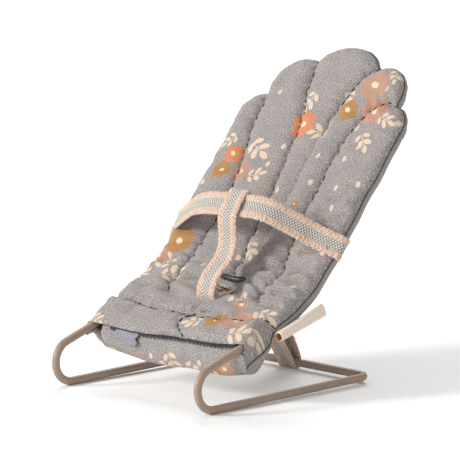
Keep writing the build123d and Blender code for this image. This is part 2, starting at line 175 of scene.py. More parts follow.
def place(x, run, rise):
    """Points in metres from places beside the wire."""
    y, z = side_point(run, rise)
    x = np.broadcast_to(np.asarray(x, float), np.shape(y))
    return np.stack([x, y, z], axis=-1) * MM


def slope(run):
    """Direction up the seat at a place along the wire."""
    turn = SEAT_ANGLE + np.clip((np.asarray(run, float) - SEAT_RUN) / HIP_R, 0, BACK_ANGLE - SEAT_ANGLE)
    return np.stack([np.zeros_like(turn), np.cos(turn), np.sin(turn)], axis=-1)


def arc_through(a, b, c, count):
    """Points on the arc from a through b to c, without the last one."""
    a, b, c = (Vector(p) for p in (a, b, c))
    d = 2 * (a.x * (b.y - c.y) + b.x * (c.y - a.y) + c.x * (a.y - b.y))
    aa, bb, cc = (p.length_squared for p in (a, b, c))
    ux = (aa * (b.y - c.y) + bb * (c.y - a.y) + cc * (a.y - b.y)) / d
    uy = (aa * (c.x - b.x) + bb * (a.x - c.x) + cc * (b.x - a.x)) / d
    centre = Vector((ux, uy))
    radius = (a - centre).length
    angles = [math.atan2(p.y - uy, p.x - ux) for p in (a, b, c)]
    sweep = (angles[2] - angles[0]) % (2 * math.pi)
    if (angles[1] - angles[0]) % (2 * math.pi) > sweep:
        sweep -= 2 * math.pi
    steps = [angles[0] + sweep * i / count for i in range(count)]
    return [(ux + radius * math.cos(t), uy + radius * math.sin(t)) for t in steps]


def front_edge(x):
    """Run of the front fold."""
    x = np.asarray(x, float)
    hang = 5.0 * np.clip((x - 41.0) / 3.0, 0, 1) ** 2 + 2.0 * np.clip((-x - 41.0) / 3.0, 0, 1) ** 2
    return 14.6 + 0.0500 * (x + HALF_FRAME) + 0.45 * np.sin(x * 0.16 + 0.6) - hang


def outline():
    """The cover's outline as (x, run) places, from the front left corner round by the right."""
    xs = np.linspace(-HALF_COVER + 1.0, HALF_COVER - 0.5, FRONT_POINTS)
    points = list(zip(xs, front_edge(xs)))
    runs = np.arange(float(front_edge(HALF_COVER - 0.5)) + 0.2, SHOULDER_RUN, OUTLINE_STEP)
    wave = 0.45 * np.sin(runs / 3.9) * np.sin(runs / 11.0 + 1.0)
    points += list(zip(HALF_COVER + wave, runs))
    points += arc_through((HALF_COVER, SHOULDER_RUN), (42.2, 142.2), (34.6, 146.0), 28)
    points += arc_through((34.6, 146.0), (28.0, 161.6), (16.4, 161.6), 50)
    points += arc_through((16.4, 161.6), (0.0, COVER_TOP), (-16.3, 161.2), 70)
    points += arc_through((-16.3, 161.2), (-27.0, 160.8), (-34.2, 144.0), 50)
    points += arc_through((-34.2, 144.0), (-41.6, 140.0), (-HALF_COVER, LEFT_SHOULDER_RUN), 28)
    runs = np.arange(LEFT_SHOULDER_RUN, float(front_edge(-HALF_COVER + 1.0)) + 0.2, -OUTLINE_STEP)
    wave = 0.45 * np.sin(runs / 4.3 + 1.7) * np.sin(runs / 9.0)
    points += list(zip(-HALF_COVER - wave, runs))
    return np.array(points)


def square_to(line):
    """Directions square to a line of places, which point out of the cover for its outline."""
    ahead = np.roll(line, -1, axis=0) - np.roll(line, 1, axis=0)
    out = np.stack([ahead[:, 1], -ahead[:, 0]], axis=1)
    return out / np.maximum(np.linalg.norm(out, axis=1), 1e-9)[:, None]


def distance_to(points, line, closed=True):
    """Shortest distance from each point to a line of points, in the plane."""
    a = line if closed else line[:-1]
    b = np.roll(line, -1, axis=0) if closed else line[1:]
    best = np.full(len(points), 1e9)
    for first in range(0, len(points), 4000):
        p = points[first:first + 4000, None, :]
        ab = (b - a)[None]
        t = np.clip(((p - a[None]) * ab).sum(-1) / np.maximum((ab ** 2).sum(-1), 1e-12), 0, 1)
        gap = np.linalg.norm(p - a[None] - t[..., None] * ab, axis=-1)
        best[first:first + 4000] = gap.min(axis=1)
    return best


def smooth_line(places, step):
    """Evenly spaced points on a smooth line through a few places."""
    p = [Vector((*q, 0)) if len(q) == 2 else Vector(q) for q in places]
    p = [2 * p[0] - p[1]] + p + [2 * p[-1] - p[-2]]
    dense = []
    for i in range(1, len(p) - 2):
        for k in range(24):
            t = k / 24
            dense.append(0.5 * (2 * p[i] + (p[i + 1] - p[i - 1]) * t
                                + (2 * p[i - 1] - 5 * p[i] + 4 * p[i + 1] - p[i + 2]) * t * t
                                + (3 * p[i] - p[i - 1] - 3 * p[i + 1] + p[i + 2]) * t ** 3))
    dense.append(p[-2])
    dense = np.array([tuple(v) for v in dense])
    gone = np.concatenate([[0], np.cumsum(np.linalg.norm(np.diff(dense, axis=0), axis=1))])
    count = max(2, int(round(gone[-1] / step)) + 1)
    at = np.linspace(0, gone[-1], count)
    return np.stack([np.interp(at, gone, dense[:, k]) for k in range(3)], axis=1)


OUTLINE = outline()
SIDE_EDGE = OUTLINE[FRONT_POINTS:]
LINES = {name: smooth_line(places, OUTLINE_STEP)[:, :2] for name, (_, places) in QUILTING.items()}


def soft_noise(x, y, z, scale):
    """Smooth random heights, about -1 to 1, the same every time."""
    return np.array([noise.noise(Vector((a / scale, b / scale, z))) for a, b in zip(x, y)])


def seam_rise(x, run):
    """Height of the side seam, which hangs less at the front left corner."""
    left = np.clip(-np.asarray(x, float) / 20, 0, 1) * np.clip((36 - np.asarray(run, float)) / 14, 0, 1)
    return np.interp(run, SEAM_RUNS, SEAM_RISES) * (1 - 0.6 * left)


def fold_rise(x):
    """Height of the underside of the front fold."""
    return 0.5 + 1.5 * (np.abs(np.asarray(x, float)) / HALF_FRAME) ** 4


def bulge(t):
    """Quarter-round profile from 0 at the seam to 1 inside."""
    t = np.clip(t, 0, 1)
    return np.sqrt(np.maximum(1 - (1 - t) ** 2, 0))


def cover_rise(x, run, depth=1.0):
    """Height of the padded cover's top surface."""
    x = np.atleast_1d(np.asarray(x, float))
    run = np.atleast_1d(np.asarray(run, float))
    points = np.stack([x, run], axis=1)
    edge = distance_to(points, SIDE_EDGE, closed=False)
    front = np.maximum(run - front_edge(x), 0)
    crown = np.interp(run, CROWN_RUNS, CROWN_RISES)
    right = np.clip((x - 16) / 10, 0, 1) * np.clip((128 - run) / 30, 0, 1)
    rumple = np.maximum(np.clip((105 - run) / 45, 0.2, 1.0), right) * np.clip((run - 8) / 30, 0.3, 1.0)
    crown = crown + 0.7 * soft_noise(x, run, 3.1, 19.0)
    crown = crown + (0.3 + 1.1 * rumple) * soft_noise(x * 0.5, run, 7.7, 5.0)
    crown = crown + (0.2 + 1.0 * rumple) * soft_noise(x * 0.25 + run * 0.12, run, 5.2, 3.6)
    pull = np.zeros(len(x))
    pucker = np.zeros(len(x))
    for number, (name, line) in enumerate(LINES.items()):
        strength = QUILTING[name][0]
        tree = kdtree.KDTree(len(line))
        for i, q in enumerate(line):
            tree.insert((q[0], q[1], 0), i)
        tree.balance()
        found = [tree.find((a, b, 0)) for a, b in points]
        gap = np.array([f[2] for f in found])
        along = np.array([f[1] for f in found]) * OUTLINE_STEP
        groove = 1.35 * np.exp(-(gap / 0.9) ** 1.5) + 1.35 * np.exp(-(gap / 3.6) ** 2)
        pull = np.maximum(pull, strength * groove)
        ripple = [noise.noise(Vector((s / 2.3, g / 9.0, number * 3.7))) for s, g in zip(along, gap)]
        pucker += strength * 1.5 * np.array(ripple) * np.exp(-gap / 3.6) * np.clip(gap / 0.9, 0, 1)
    for (x0, r0), (x1, r1), deep, wide in CREASES:
        a = np.array([x0, r0], float)
        d = np.array([x1, r1], float) - a
        t = ((points - a) @ d) / (d @ d)
        bend = 0.8 * np.sin(t * 5.0 + x0)
        across = (points - a) @ np.array([-d[1], d[0]]) / np.linalg.norm(d) + bend
        fade = np.clip(t / 0.25, 0, 1) * np.clip((1 - t) / 0.25, 0, 1)
        pull = pull + 1.8 * deep * fade * fade * np.exp(-(across / wide) ** 2)
        pull = pull - 0.6 * deep * fade * np.exp(-((across - 2.6) / (1.5 * wide)) ** 2)
    rim = np.array([noise.noise(Vector((a / 3.0, b / 3.0, 9.1))) for a, b in points])
    near_seam = np.exp(-edge / 3.2) * np.clip(edge / 1.2, 0, 1)
    pucker += 1.2 * rim * np.clip((run - 20) / 25, 0.3, 1.0) * near_seam
    dimple = 3.6 * np.exp(-((x - SLOT_X) / 7.5) ** 2 - ((run - 50.0) / 7.5) ** 2)
    seam = seam_rise(x, run)
    high = crown - (pull - pucker) * depth - dimple
    rise = seam + (high - seam) * bulge(edge / 5.2)
    under = fold_rise(x)
    low = np.minimum(under, rise)
    return low + (rise - low) * bulge(front / 2.2)


def cover_under(x, run, top):
    """Height of the padded cover's underside, which lies on the wires."""
    points = np.stack([x, run], axis=1)
    edge = distance_to(points, SIDE_EDGE, closed=False)
    front = np.maximum(run - front_edge(x), 0)
    seam = seam_rise(x, run)
    flat = np.minimum(2.15, top - 0.9)
    t = np.clip(edge / 1.5, 0, 1)
    rise = seam + (flat - seam) * t * t * (3 - 2 * t)
    under = np.minimum(fold_rise(x), rise)
    s = np.clip(front / 1.2, 0, 1)
    return np.minimum(under + (rise - under) * s, top - 0.05)


def surface_frames(x, run, lift=0.0):
    """Points on the cover's top surface and the directions square to it, in metres."""
    e = 0.4
    x = np.asarray(x, float)
    run = np.asarray(run, float)
    here = place(x, run, cover_rise(x, run))
    along = place(x, run + e, cover_rise(x, run + e)) - place(x, run - e, cover_rise(x, run - e))
    across = place(x + e, run, cover_rise(x + e, run)) - place(x - e, run, cover_rise(x - e, run))
    up = np.cross(across, along)
    up /= np.linalg.norm(up, axis=1)[:, None]
    return here + up * lift * MM, up


# ---------------------------------------------------------------- meshes

def make_object(name, points, faces, material, uv=None, smooth=True):
    """Object at the origin from points in metres; uv gives one place for each point."""
    mesh = bpy.data.meshes.new(name)
    mesh.from_pydata([tuple(p) for p in np.asarray(points, float)], [], [tuple(f) for f in faces])
    if uv is not None:
        layer = mesh.uv_layers.new(name="cloth")
        corner = np.zeros(len(mesh.loops), np.int32)
        mesh.loops.foreach_get("vertex_index", corner)
        layer.data.foreach_set("uv", np.asarray(uv, float)[corner].ravel())
    mesh.validate()
    mesh.polygons.foreach_set("use_smooth", [smooth] * len(mesh.polygons))
    mesh.update()
    obj = bpy.data.objects.new(name, mesh)
    bpy.context.scene.collection.objects.link(obj)
    if material is not None:
        mesh.materials.append(material)
    return obj


def outward(obj):
    """Turns a closed mesh's faces outwards."""
    work = bmesh.new()
    work.from_mesh(obj.data)
    bmesh.ops.recalc_face_normals(work, faces=work.faces)
    work.to_mesh(obj.data)
    work.free()
    return obj


def applied(obj):
    """Turns the object's modifiers into plain mesh."""
    graph = bpy.context.evaluated_depsgraph_get()
    mesh = bpy.data.meshes.new_from_object(obj.evaluated_get(graph))
    obj.modifiers.clear()
    obj.data = mesh
    return obj


def closed_rod(name, centres, radius, sides, material):
    """Round rod along a closed line of points in metres."""
    c = np.asarray(centres, float)
    count = len(c)
    ahead = np.roll(c, -1, axis=0) - np.roll(c, 1, axis=0)
    ahead /= np.linalg.norm(ahead, axis=1)[:, None]
    up = np.array([0.0, 0.0, 1.0])
    ups = []
    for i in range(count):
        up = up - ahead[i] * (up @ ahead[i])
        up = up / np.linalg.norm(up)
        ups.append(up)
    ups = np.array(ups)
    side0 = np.cross(ahead[0], ups[0])
    end = ups[-1] - ahead[0] * (ups[-1] @ ahead[0])
    twist = math.atan2(end @ side0, end @ ups[0])
    side = np.cross(ahead, ups)
    rings = []
    for i in range(count):
        fix = -twist * i / count
        for k in range(sides):
            t = 2 * math.pi * k / sides + fix
            rings.append(c[i] + radius * MM * (math.cos(t) * ups[i] + math.sin(t) * side[i]))
    faces = []
    for i in range(count):
        j = (i + 1) % count
        for k in range(sides):
            m = (k + 1) % sides
            faces.append((i * sides + k, i * sides + m, j * sides + m, j * sides + k))
    return outward(make_object(name, rings, faces, material))


def padded_points(spacing, cuts=()):
    """Places for the cover's mesh: rings close inside its outline, rows beside the seams, any cuts, and an
    even field, with the slot's own line first."""
    slot = slot_line()
    line = OUTLINE
    out = square_to(line)
    extra = []
    for inset in (0.12, 0.35, 0.7, 1.15, 1.7):
        ring = line - out * inset
        gap = distance_to(ring, line)
        extra.append(ring[gap > inset * 0.93])
    rows = np.arange(10.0, COVER_TOP + 1, spacing * 0.87)
    field = []
    for i, run in enumerate(rows):
        xs = np.arange(-45.0, 45.0, spacing) + (0.5 * spacing if i % 2 else 0.0)
        field.append(np.stack([xs, np.full(len(xs), run)], axis=1))
    field = np.concatenate(field)
    inside = points_inside(field, line)
    field = field[inside]
    field = field[distance_to(field, line) > 2.2]
    for sewn in LINES.values():
        along = np.gradient(sewn, axis=0)
        square = np.stack([-along[:, 1], along[:, 0]], axis=1)
        square /= np.linalg.norm(square, axis=1)[:, None]
        rows = [sewn + square * step for step in (-1.25, -0.7, -0.3, 0.0, 0.3, 0.7, 1.25)]
        rows = np.concatenate(rows)
        field = field[distance_to(field, sewn, closed=False) > 1.75]
        extra.append(rows[points_inside(rows, line) & (distance_to(rows, line) > 0.3)])
    extra.append(field)
    for cut in cuts:
        extra = [e[distance_to(e, cut, closed=False) > 0.45] for e in extra]
    for cut in cuts:
        extra.append(cut[points_inside(cut, line) & (distance_to(cut, line) > 0.2)])
    extra = np.concatenate(extra)
    around = distance_to(extra, slot)
    keep = (around > 0.35) & ~points_inside(extra, slot)
    return slot, extra[keep]


def points_inside(points, line):
    """Which points lie inside a closed line."""
    x, y = points[:, 0], points[:, 1]
    inside = np.zeros(len(points), bool)
    a = line
    b = np.roll(line, -1, axis=0)
    for (x0, y0), (x1, y1) in zip(a, b):
        crosses = (y0 > y) != (y1 > y)
        if y0 != y1:
            inside ^= crosses & (x < (x1 - x0) * (y - y0) / (y1 - y0) + x0)
    return inside


def slot_line():
    """Closed line round the strap slot."""
    points = []
    for k in range(44):
        t = 2 * math.pi * k / 44
        c, s = math.cos(t), math.sin(t)
        px = SLOT_X + SLOT_HALF[0] * math.copysign(abs(c) ** 0.5, c)
        py = SLOT_RUN + SLOT_HALF[1] * math.copysign(abs(s) ** 0.7, s)
        points.append((px, py))
    return np.array(points)


def cover_triangles(spacing, with_slot=True, cuts=()):
    """Triangles over the cover: (places, faces, outline loop, slot loop)."""
    slot, extra = padded_points(spacing, cuts)
    if not with_slot:
        slot = slot[:0]
    every = np.concatenate([OUTLINE, slot, extra])
    n, m = len(OUTLINE), len(slot)
    edges = [(i, (i + 1) % n) for i in range(n)]
    edges += [(n + i, n + (i + 1) % m) for i in range(m)]
    result = delaunay_2d_cdt([Vector(p) for p in every], edges, [], 1, 1e-4)
    verts = np.array([tuple(v) for v in result[0]])
    origin = result[3]
    index = {}
    for new, olds in enumerate(origin):
        for old in olds:
            index[old] = new
    faces = []
    faces_mid = np.array([verts[list(f)].mean(axis=0) for f in result[2]])
    keep = points_inside(faces_mid, OUTLINE)
    if with_slot:
        keep &= ~points_inside(faces_mid, slot)
    for f, k in zip(result[2], keep):
        if k and len(set(f)) == 3:
            a, b, c = (verts[i] for i in f)
            area = (b[0] - a[0]) * (c[1] - a[1]) - (b[1] - a[1]) * (c[0] - a[0])
            faces.append(tuple(f) if area > 0 else tuple(f)[::-1])
    loop = [index[i] for i in range(n)]
    hole = [index[n + i] for i in range(m)]
    return verts, faces, loop, hole


# ---------------------------------------------------------------- node helpers

def srgb(r, g, b):
    """Linear colour from 0 to 255 display values."""
    parts = [v / 255 for v in (r, g, b)]
    return tuple(v / 12.92 if v <= 0.04045 else ((v + 0.055) / 1.055) ** 2.4 for v in parts) + (1.0,)


class Nodes:
    """Adds nodes to a tree; an input may be a socket or a plain value."""

    def __init__(self, tree):
        self.tree = tree

    def add(self, kind, **settings):
        node = self.tree.nodes.new(kind)
        for key, value in settings.items():
            setattr(node, key, value)
        return node

    def put(self, value, socket):
        if isinstance(value, bpy.types.NodeSocket):
            self.tree.links.new(value, socket)
        elif value is not None:
            socket.default_value = value

    def math(self, operation, a, b=None, c=None):
        node = self.add("ShaderNodeMath", operation=operation)
        for value, socket in zip((a, b, c), node.inputs):
            self.put(value, socket)
        return node.outputs[0]

    def vector(self, operation, a, b=None, scale=None):
        node = self.add("ShaderNodeVectorMath", operation=operation)
        self.put(a, node.inputs[0])
        if b is not None:
            self.put(b, node.inputs[1])
        if scale is not None:
            self.put(scale, node.inputs["Scale"])
        return node.outputs["Value" if operation == "LENGTH" else 0]

    def mix(self, factor, a, b):
        node = self.add("ShaderNodeMix", data_type="RGBA")
        self.put(factor, node.inputs[0])
        self.put(a, node.inputs[6])
        self.put(b, node.inputs[7])
        return node.outputs[2]

    def ramp(self, value, low, high, a=0.0, b=1.0, smooth=True):
        node = self.add("ShaderNodeMapRange", interpolation_type="SMOOTHSTEP" if smooth else "LINEAR")
        for key, item in zip((0, 1, 2, 3, 4), (value, low, high, a, b)):
            self.put(item, node.inputs[key])
        return node.outputs[0]

    def noise(self, vector, scale, detail=2.0, rough=0.5):
        node = self.add("ShaderNodeTexNoise")
        self.put(vector, node.inputs["Vector"])
        node.inputs["Scale"].default_value = scale
        node.inputs["Detail"].default_value = detail
        node.inputs["Roughness"].default_value = rough
        return node.outputs[0]

    def group(self, name, **values):
        node = self.add("ShaderNodeGroup")
        node.node_tree = bpy.data.node_groups[name]
        for key, value in values.items():
            self.put(value, node.inputs[key])
        return node.outputs


def shader_group(name, inputs, outputs):
    """Empty shader node group with named sockets: (nodes, input sockets, output sockets)."""
    tree = bpy.data.node_groups.new(name, "ShaderNodeTree")
    for label, kind, default in inputs:
        socket = tree.interface.new_socket(name=label, in_out="INPUT", socket_type="NodeSocket" + kind)
        if default is not None:
            socket.default_value = default
    for label, kind in outputs:
        tree.interface.new_socket(name=label, in_out="OUTPUT", socket_type="NodeSocket" + kind)
    n = Nodes(tree)
    return n, n.add("NodeGroupInput").outputs, n.add("NodeGroupOutput").inputs


def build_groups():
    """Shared effects: weave, heathered yarn, printed flowers, leaves and sprigs, and braid."""
    n, i, o = shader_group("Plain weave", [("Place", "Vector", None), ("Pitch", "Float", 0.4)],
                           [("Height", "Float"), ("Yarn", "Float")])
    p = n.vector("SCALE", i["Place"], scale=n.math("DIVIDE", math.pi, i["Pitch"]))
    xyz = n.add("ShaderNodeSeparateXYZ")
    n.put(p, xyz.inputs[0])
    warp = n.math("SINE", xyz.outputs[0])
    weft = n.math("SINE", xyz.outputs[1])
    n.put(n.math("MULTIPLY_ADD", n.math("MULTIPLY", warp, weft), 0.5, 0.5), o["Height"])
    # Yarn is 1 on the crowns of the yarns and 0 between them; the cloth and the label tape use it to paint
    # shade between the yarns.
    n.put(n.math("MULTIPLY", n.math("ABSOLUTE", warp), n.math("ABSOLUTE", weft)), o["Yarn"])

    n, i, o = shader_group("Heathered yarn", [("Place", "Vector", None), ("Scale", "Float", 1.0)],
                           [("Warp", "Float"), ("Weft", "Float"), ("Cloud", "Float")])
    p = n.vector("SCALE", i["Place"], scale=i["Scale"])
    along = n.vector("MULTIPLY", p, (2.3, 1.5, 1.0))
    across = n.vector("MULTIPLY", p, (1.5, 2.3, 1.0))
    n.put(n.ramp(n.noise(along, 1.0, 2.0, 0.7), 0.42, 0.58), o["Warp"])
    n.put(n.ramp(n.noise(across, 1.0, 2.0, 0.7), 0.47, 0.66), o["Weft"])
    n.put(n.noise(p, 0.16, 3.0, 0.6), o["Cloud"])

    spot = [("Place", "Vector", None), ("Centre", "Vector", None), ("Turn", "Float", 0.0)]
    n, i, o = shader_group("Turned place", spot, [("Place", "Vector")])
    d = n.vector("SUBTRACT", i["Place"], i["Centre"])
    turn = n.add("ShaderNodeVectorRotate", rotation_type="Z_AXIS")
    n.put(d, turn.inputs["Vector"])
    n.put(i["Turn"], turn.inputs["Angle"])
    n.put(turn.outputs[0], o["Place"])

    n, i, o = shader_group("Printed leaf", spot + [("Length", "Float", 4.0), ("Width", "Float", 1.6)],
                           [("Mask", "Float")])
    xyz = n.add("ShaderNodeSeparateXYZ")
    p = n.group("Turned place", Place=i["Place"], Centre=i["Centre"], Turn=i["Turn"])["Place"]
    n.put(p, xyz.inputs[0])
    u = n.math("DIVIDE", xyz.outputs[0], i["Length"])
    v = n.math("DIVIDE", n.math("ABSOLUTE", xyz.outputs[1]), i["Width"])
    round_part = n.math("ADD", n.math("MULTIPLY", n.math("MULTIPLY", u, u), 4.0),
                        n.math("MULTIPLY", n.math("POWER", v, 1.6), 3.0))
    n.put(n.ramp(n.math("SUBTRACT", 1.0, round_part), -0.10, 0.12), o["Mask"])

    n, i, o = shader_group("Printed sprig", spot + [("Size", "Float", 10.0)], [("Mask", "Float")])
    p = n.group("Turned place", Place=i["Place"], Centre=i["Centre"], Turn=i["Turn"])["Place"]
    p = n.vector("SCALE", p, scale=n.math("DIVIDE", 10.0, i["Size"]))
    mask = n.group("Printed leaf", Place=p, Centre=(0, 0, 0), Turn=0.0, Length=9.0, Width=0.45)["Mask"]
    for x, y, turn, size in ((4.9, 0, 0.0, 4.6), (1.6, 2.3, -0.8, 4.8), (1.2, -2.3, 0.8, 4.8),
                             (-2.6, 2.2, -0.9, 4.2), (-2.9, -2.1, 0.9, 4.0)):
        leaf = n.group("Printed leaf", Place=p, Centre=(x, y, 0), Turn=turn, Length=size, Width=size * 0.54)
        mask = n.math("MAXIMUM", mask, leaf["Mask"])
    n.put(mask, o["Mask"])

    n, i, o = shader_group("Printed flower", spot + [("Radius", "Float", 5.0)],
                           [("Petals", "Float"), ("Heart", "Float")])
    p = n.group("Turned place", Place=i["Place"], Centre=i["Centre"], Turn=i["Turn"])["Place"]
    p = n.vector("SCALE", p, scale=n.math("DIVIDE", 1.0, i["Radius"]))
    xyz = n.add("ShaderNodeSeparateXYZ")
    n.put(p, xyz.inputs[0])
    r = n.vector("LENGTH", p)
    lobe = n.math("ABSOLUTE", n.math("COSINE", n.math("MULTIPLY", n.math("ARCTAN2", xyz.outputs[1],
                                                                       xyz.outputs[0]), 3.0)))
    edge = n.math("MULTIPLY_ADD", n.math("POWER", lobe, 0.6), 0.21, 0.81)
    petals = n.ramp(n.math("SUBTRACT", edge, r), -0.03, 0.05)
    split = n.math("MULTIPLY", n.ramp(lobe, 0.16, 0.02), n.ramp(r, 0.45, 0.75))
    petals = n.math("MULTIPLY", petals, n.math("SUBTRACT", 1.0, n.math("MULTIPLY", split, 0.4)))
    oval = n.vector("LENGTH", n.vector("MULTIPLY", p, (1.0, 1.35, 1.0)))
    n.put(petals, o["Petals"])
    n.put(n.ramp(oval, 0.31, 0.24), o["Heart"])

    n, i, o = shader_group("Braid", [("Place", "Vector", None)],
                           [("Edge", "Float"), ("Strand", "Float"), ("Speck", "Float")])
    xyz = n.add("ShaderNodeSeparateXYZ")
    n.put(i["Place"], xyz.inputs[0])
    across = n.math("ABSOLUTE", xyz.outputs[0])
    n.put(n.ramp(across, 1.75, 2.05), o["Edge"])
    vee = n.math("ABSOLUTE", n.math("SUBTRACT", across, 3.5))
    lean = n.math("ADD", xyz.outputs[1], n.math("MULTIPLY", vee, 0.9))
    strand = n.math("SINE", n.math("MULTIPLY", lean, 3.7))
    n.put(n.math("MULTIPLY_ADD", strand, 0.5, 0.5), o["Strand"])
    pick = n.math("SINE", n.math("MULTIPLY", xyz.outputs[0], 3.7))
    row = n.math("MULTIPLY", xyz.outputs[1], 4.9)
    step = n.math("SINE", n.math("MULTIPLY_ADD", n.math("SIGN", pick), 1.57, row))
    speck = n.math("ADD", n.math("MULTIPLY", n.math("ABSOLUTE", pick), 0.5), step)
    n.put(n.ramp(speck, -0.55, 0.35), o["Speck"])


def new_material(name, roughness=0.8, **fixed):
    """Material with a Principled BSDF: (material, nodes, shader inputs)."""
    material = bpy.data.materials.new(name)
    material.use_nodes = True
    material.node_tree.nodes.clear()
    n = Nodes(material.node_tree)
    shader = n.add("ShaderNodeBsdfPrincipled")
    out = n.add("ShaderNodeOutputMaterial")
    n.put(shader.outputs[0], out.inputs[0])
    shader.inputs["Roughness"].default_value = roughness
    for key, value in fixed.items():
        shader.inputs[key.replace("_", " ")].default_value = value
    return material, n, shader.inputs


def bump(n, height, strength, distance, normal=None):
    """Normal from a height, with the relief's depth in millimetres."""
    node = n.add("ShaderNodeBump")
    node.inputs["Strength"].default_value = strength
    node.inputs["Distance"].default_value = distance * MM
    n.put(height, node.inputs["Height"])
    n.put(normal, node.inputs["Normal"])
    return node.outputs[0]


def cloth_place(n):
    """Place on the cloth in millimetres, from the piece's own UV map."""
    uv = n.add("ShaderNodeUVMap", uv_map="cloth")
    return n.vector("SCALE", uv.outputs[0], scale=100.0)


def object_place(n):
    """Place in the object in millimetres."""
    return n.vector("SCALE", n.add("ShaderNodeTexCoord").outputs["Object"], scale=1000.0)


# Printed motifs on the top cloth. Flowers: tone, centre (x, run), radius, turn. Sprigs: centre, turn, size.
TONES = ("orange", "ochre", "pink")
FLOWERS = (("orange", (-4.5, 131), 6.2, 0.2), ("orange", (-32.5, 113), 4.3, 0.7),
           ("ochre", (15, 140), 4.9, 0.5), ("ochre", (-34, 105), 4.4, 0.1), ("ochre", (-35, 70), 7.2, 0.4),
           ("ochre", (19.5, 27), 4.8, 0.9), ("ochre", (13.5, 95), 1.8, 0.3),
           ("pink", (22, 153), 7.0, 0.3), ("pink", (28, 141.5), 6.6, 0.8), ("pink", (-24, 106), 4.9, 0.6),
           ("pink", (-41, 61), 4.8, 0.2), ("pink", (23, 39), 4.4, 0.5), ("pink", (29.5, 29), 6.6, 0.1))
SPRIGS = (((-7.5, 142), 1.9, 9), ((6, 129), 2.9, 9), ((11, 146), 1.4, 8), ((31.5, 127), 0.9, 9),
          ((37, 138), 0.3, 8), ((29, 159), 1.2, 7), ((-21, 117), 0.5, 11), ((-15, 105), -0.4, 8),
          ((-38, 119), 2.2, 7), ((-35, 58), -1.6, 10), ((-27, 52), -0.8, 10), ((-41, 48), -1.2, 8),
          ((4, 72), 1.2, 8), ((38, 36), 0.2, 10), ((36, 22), -0.4, 9), ((10, 24), 2.9, 8),
          ((-38, 16), 0.4, 7), ((17, 45), 2.0, 8), ((43, 24), 0.8, 7))
DOTS = ((8, 133), (23.5, 133), (27, 118), (30, 105), (0.5, 100), (43, 138), (35, 146), (-24, 119),
        (-12, 111), (-26, 144), (14, 83), (-2, 68), (20, 63), (1, 80), (38, 56), (-17, 92), (15, 106),
        (33, 96), (-9, 120), (40, 108), (12, 118), (-40, 98), (41, 76), (-15, 60), (29, 152))


def lay_print(obj, flowers, sprigs, dots):
    """Gives each face its place in the nearest flower, sprig and dot, as UV maps that the cloth reads."""
    mesh = obj.data
    loops = len(mesh.loops)
    cloth = np.zeros(loops * 2)
    mesh.uv_layers["cloth"].data.foreach_get("uv", cloth)
    cloth = cloth.reshape(-1, 2) * 100
    first = np.array([p.loop_start for p in mesh.polygons])
    sizes = np.array([p.loop_total for p in mesh.polygons])
    owner = np.repeat(np.arange(len(sizes)), sizes)
    middle = np.add.reduceat(cloth, first) / sizes[:, None]
    tones = [TONES.index(tone) for tone, _, _, _ in flowers]
    layers = {
        "flower": [(centre, radius, turn) for _, centre, radius, turn in flowers],
        "sprig": [(centre, size, turn) for centre, turn, size in sprigs],
        "dot": [(centre, 1.0, 0.0) for centre in dots],
    }
    for name, motifs in layers.items():
        far = np.stack([np.linalg.norm(middle - np.array(c), axis=1) / size for c, size, _ in motifs])
        pick = far.argmin(axis=0)
        if name == "flower":
            tone = mesh.attributes.new("flower_tone", "FLOAT", "FACE")
            tone.data.foreach_set("value", np.array(tones, np.float32)[pick])
        centre = np.array([c for c, _, _ in motifs], float)[pick][owner]
        size = np.array([v for _, v, _ in motifs], float)[pick][owner]
        turn = np.array([t for _, _, t in motifs], float)[pick][owner]
        d = (cloth - centre) / size[:, None]
        local = np.stack([d[:, 0] * np.cos(turn) - d[:, 1] * np.sin(turn),
                          d[:, 0] * np.sin(turn) + d[:, 1] * np.cos(turn)], axis=1)
        layer = mesh.uv_layers.new(name=name)
        layer.data.foreach_set("uv", local.ravel())
    mesh.uv_layers.active_index = 0
    mesh.uv_layers["cloth"].active_render = True


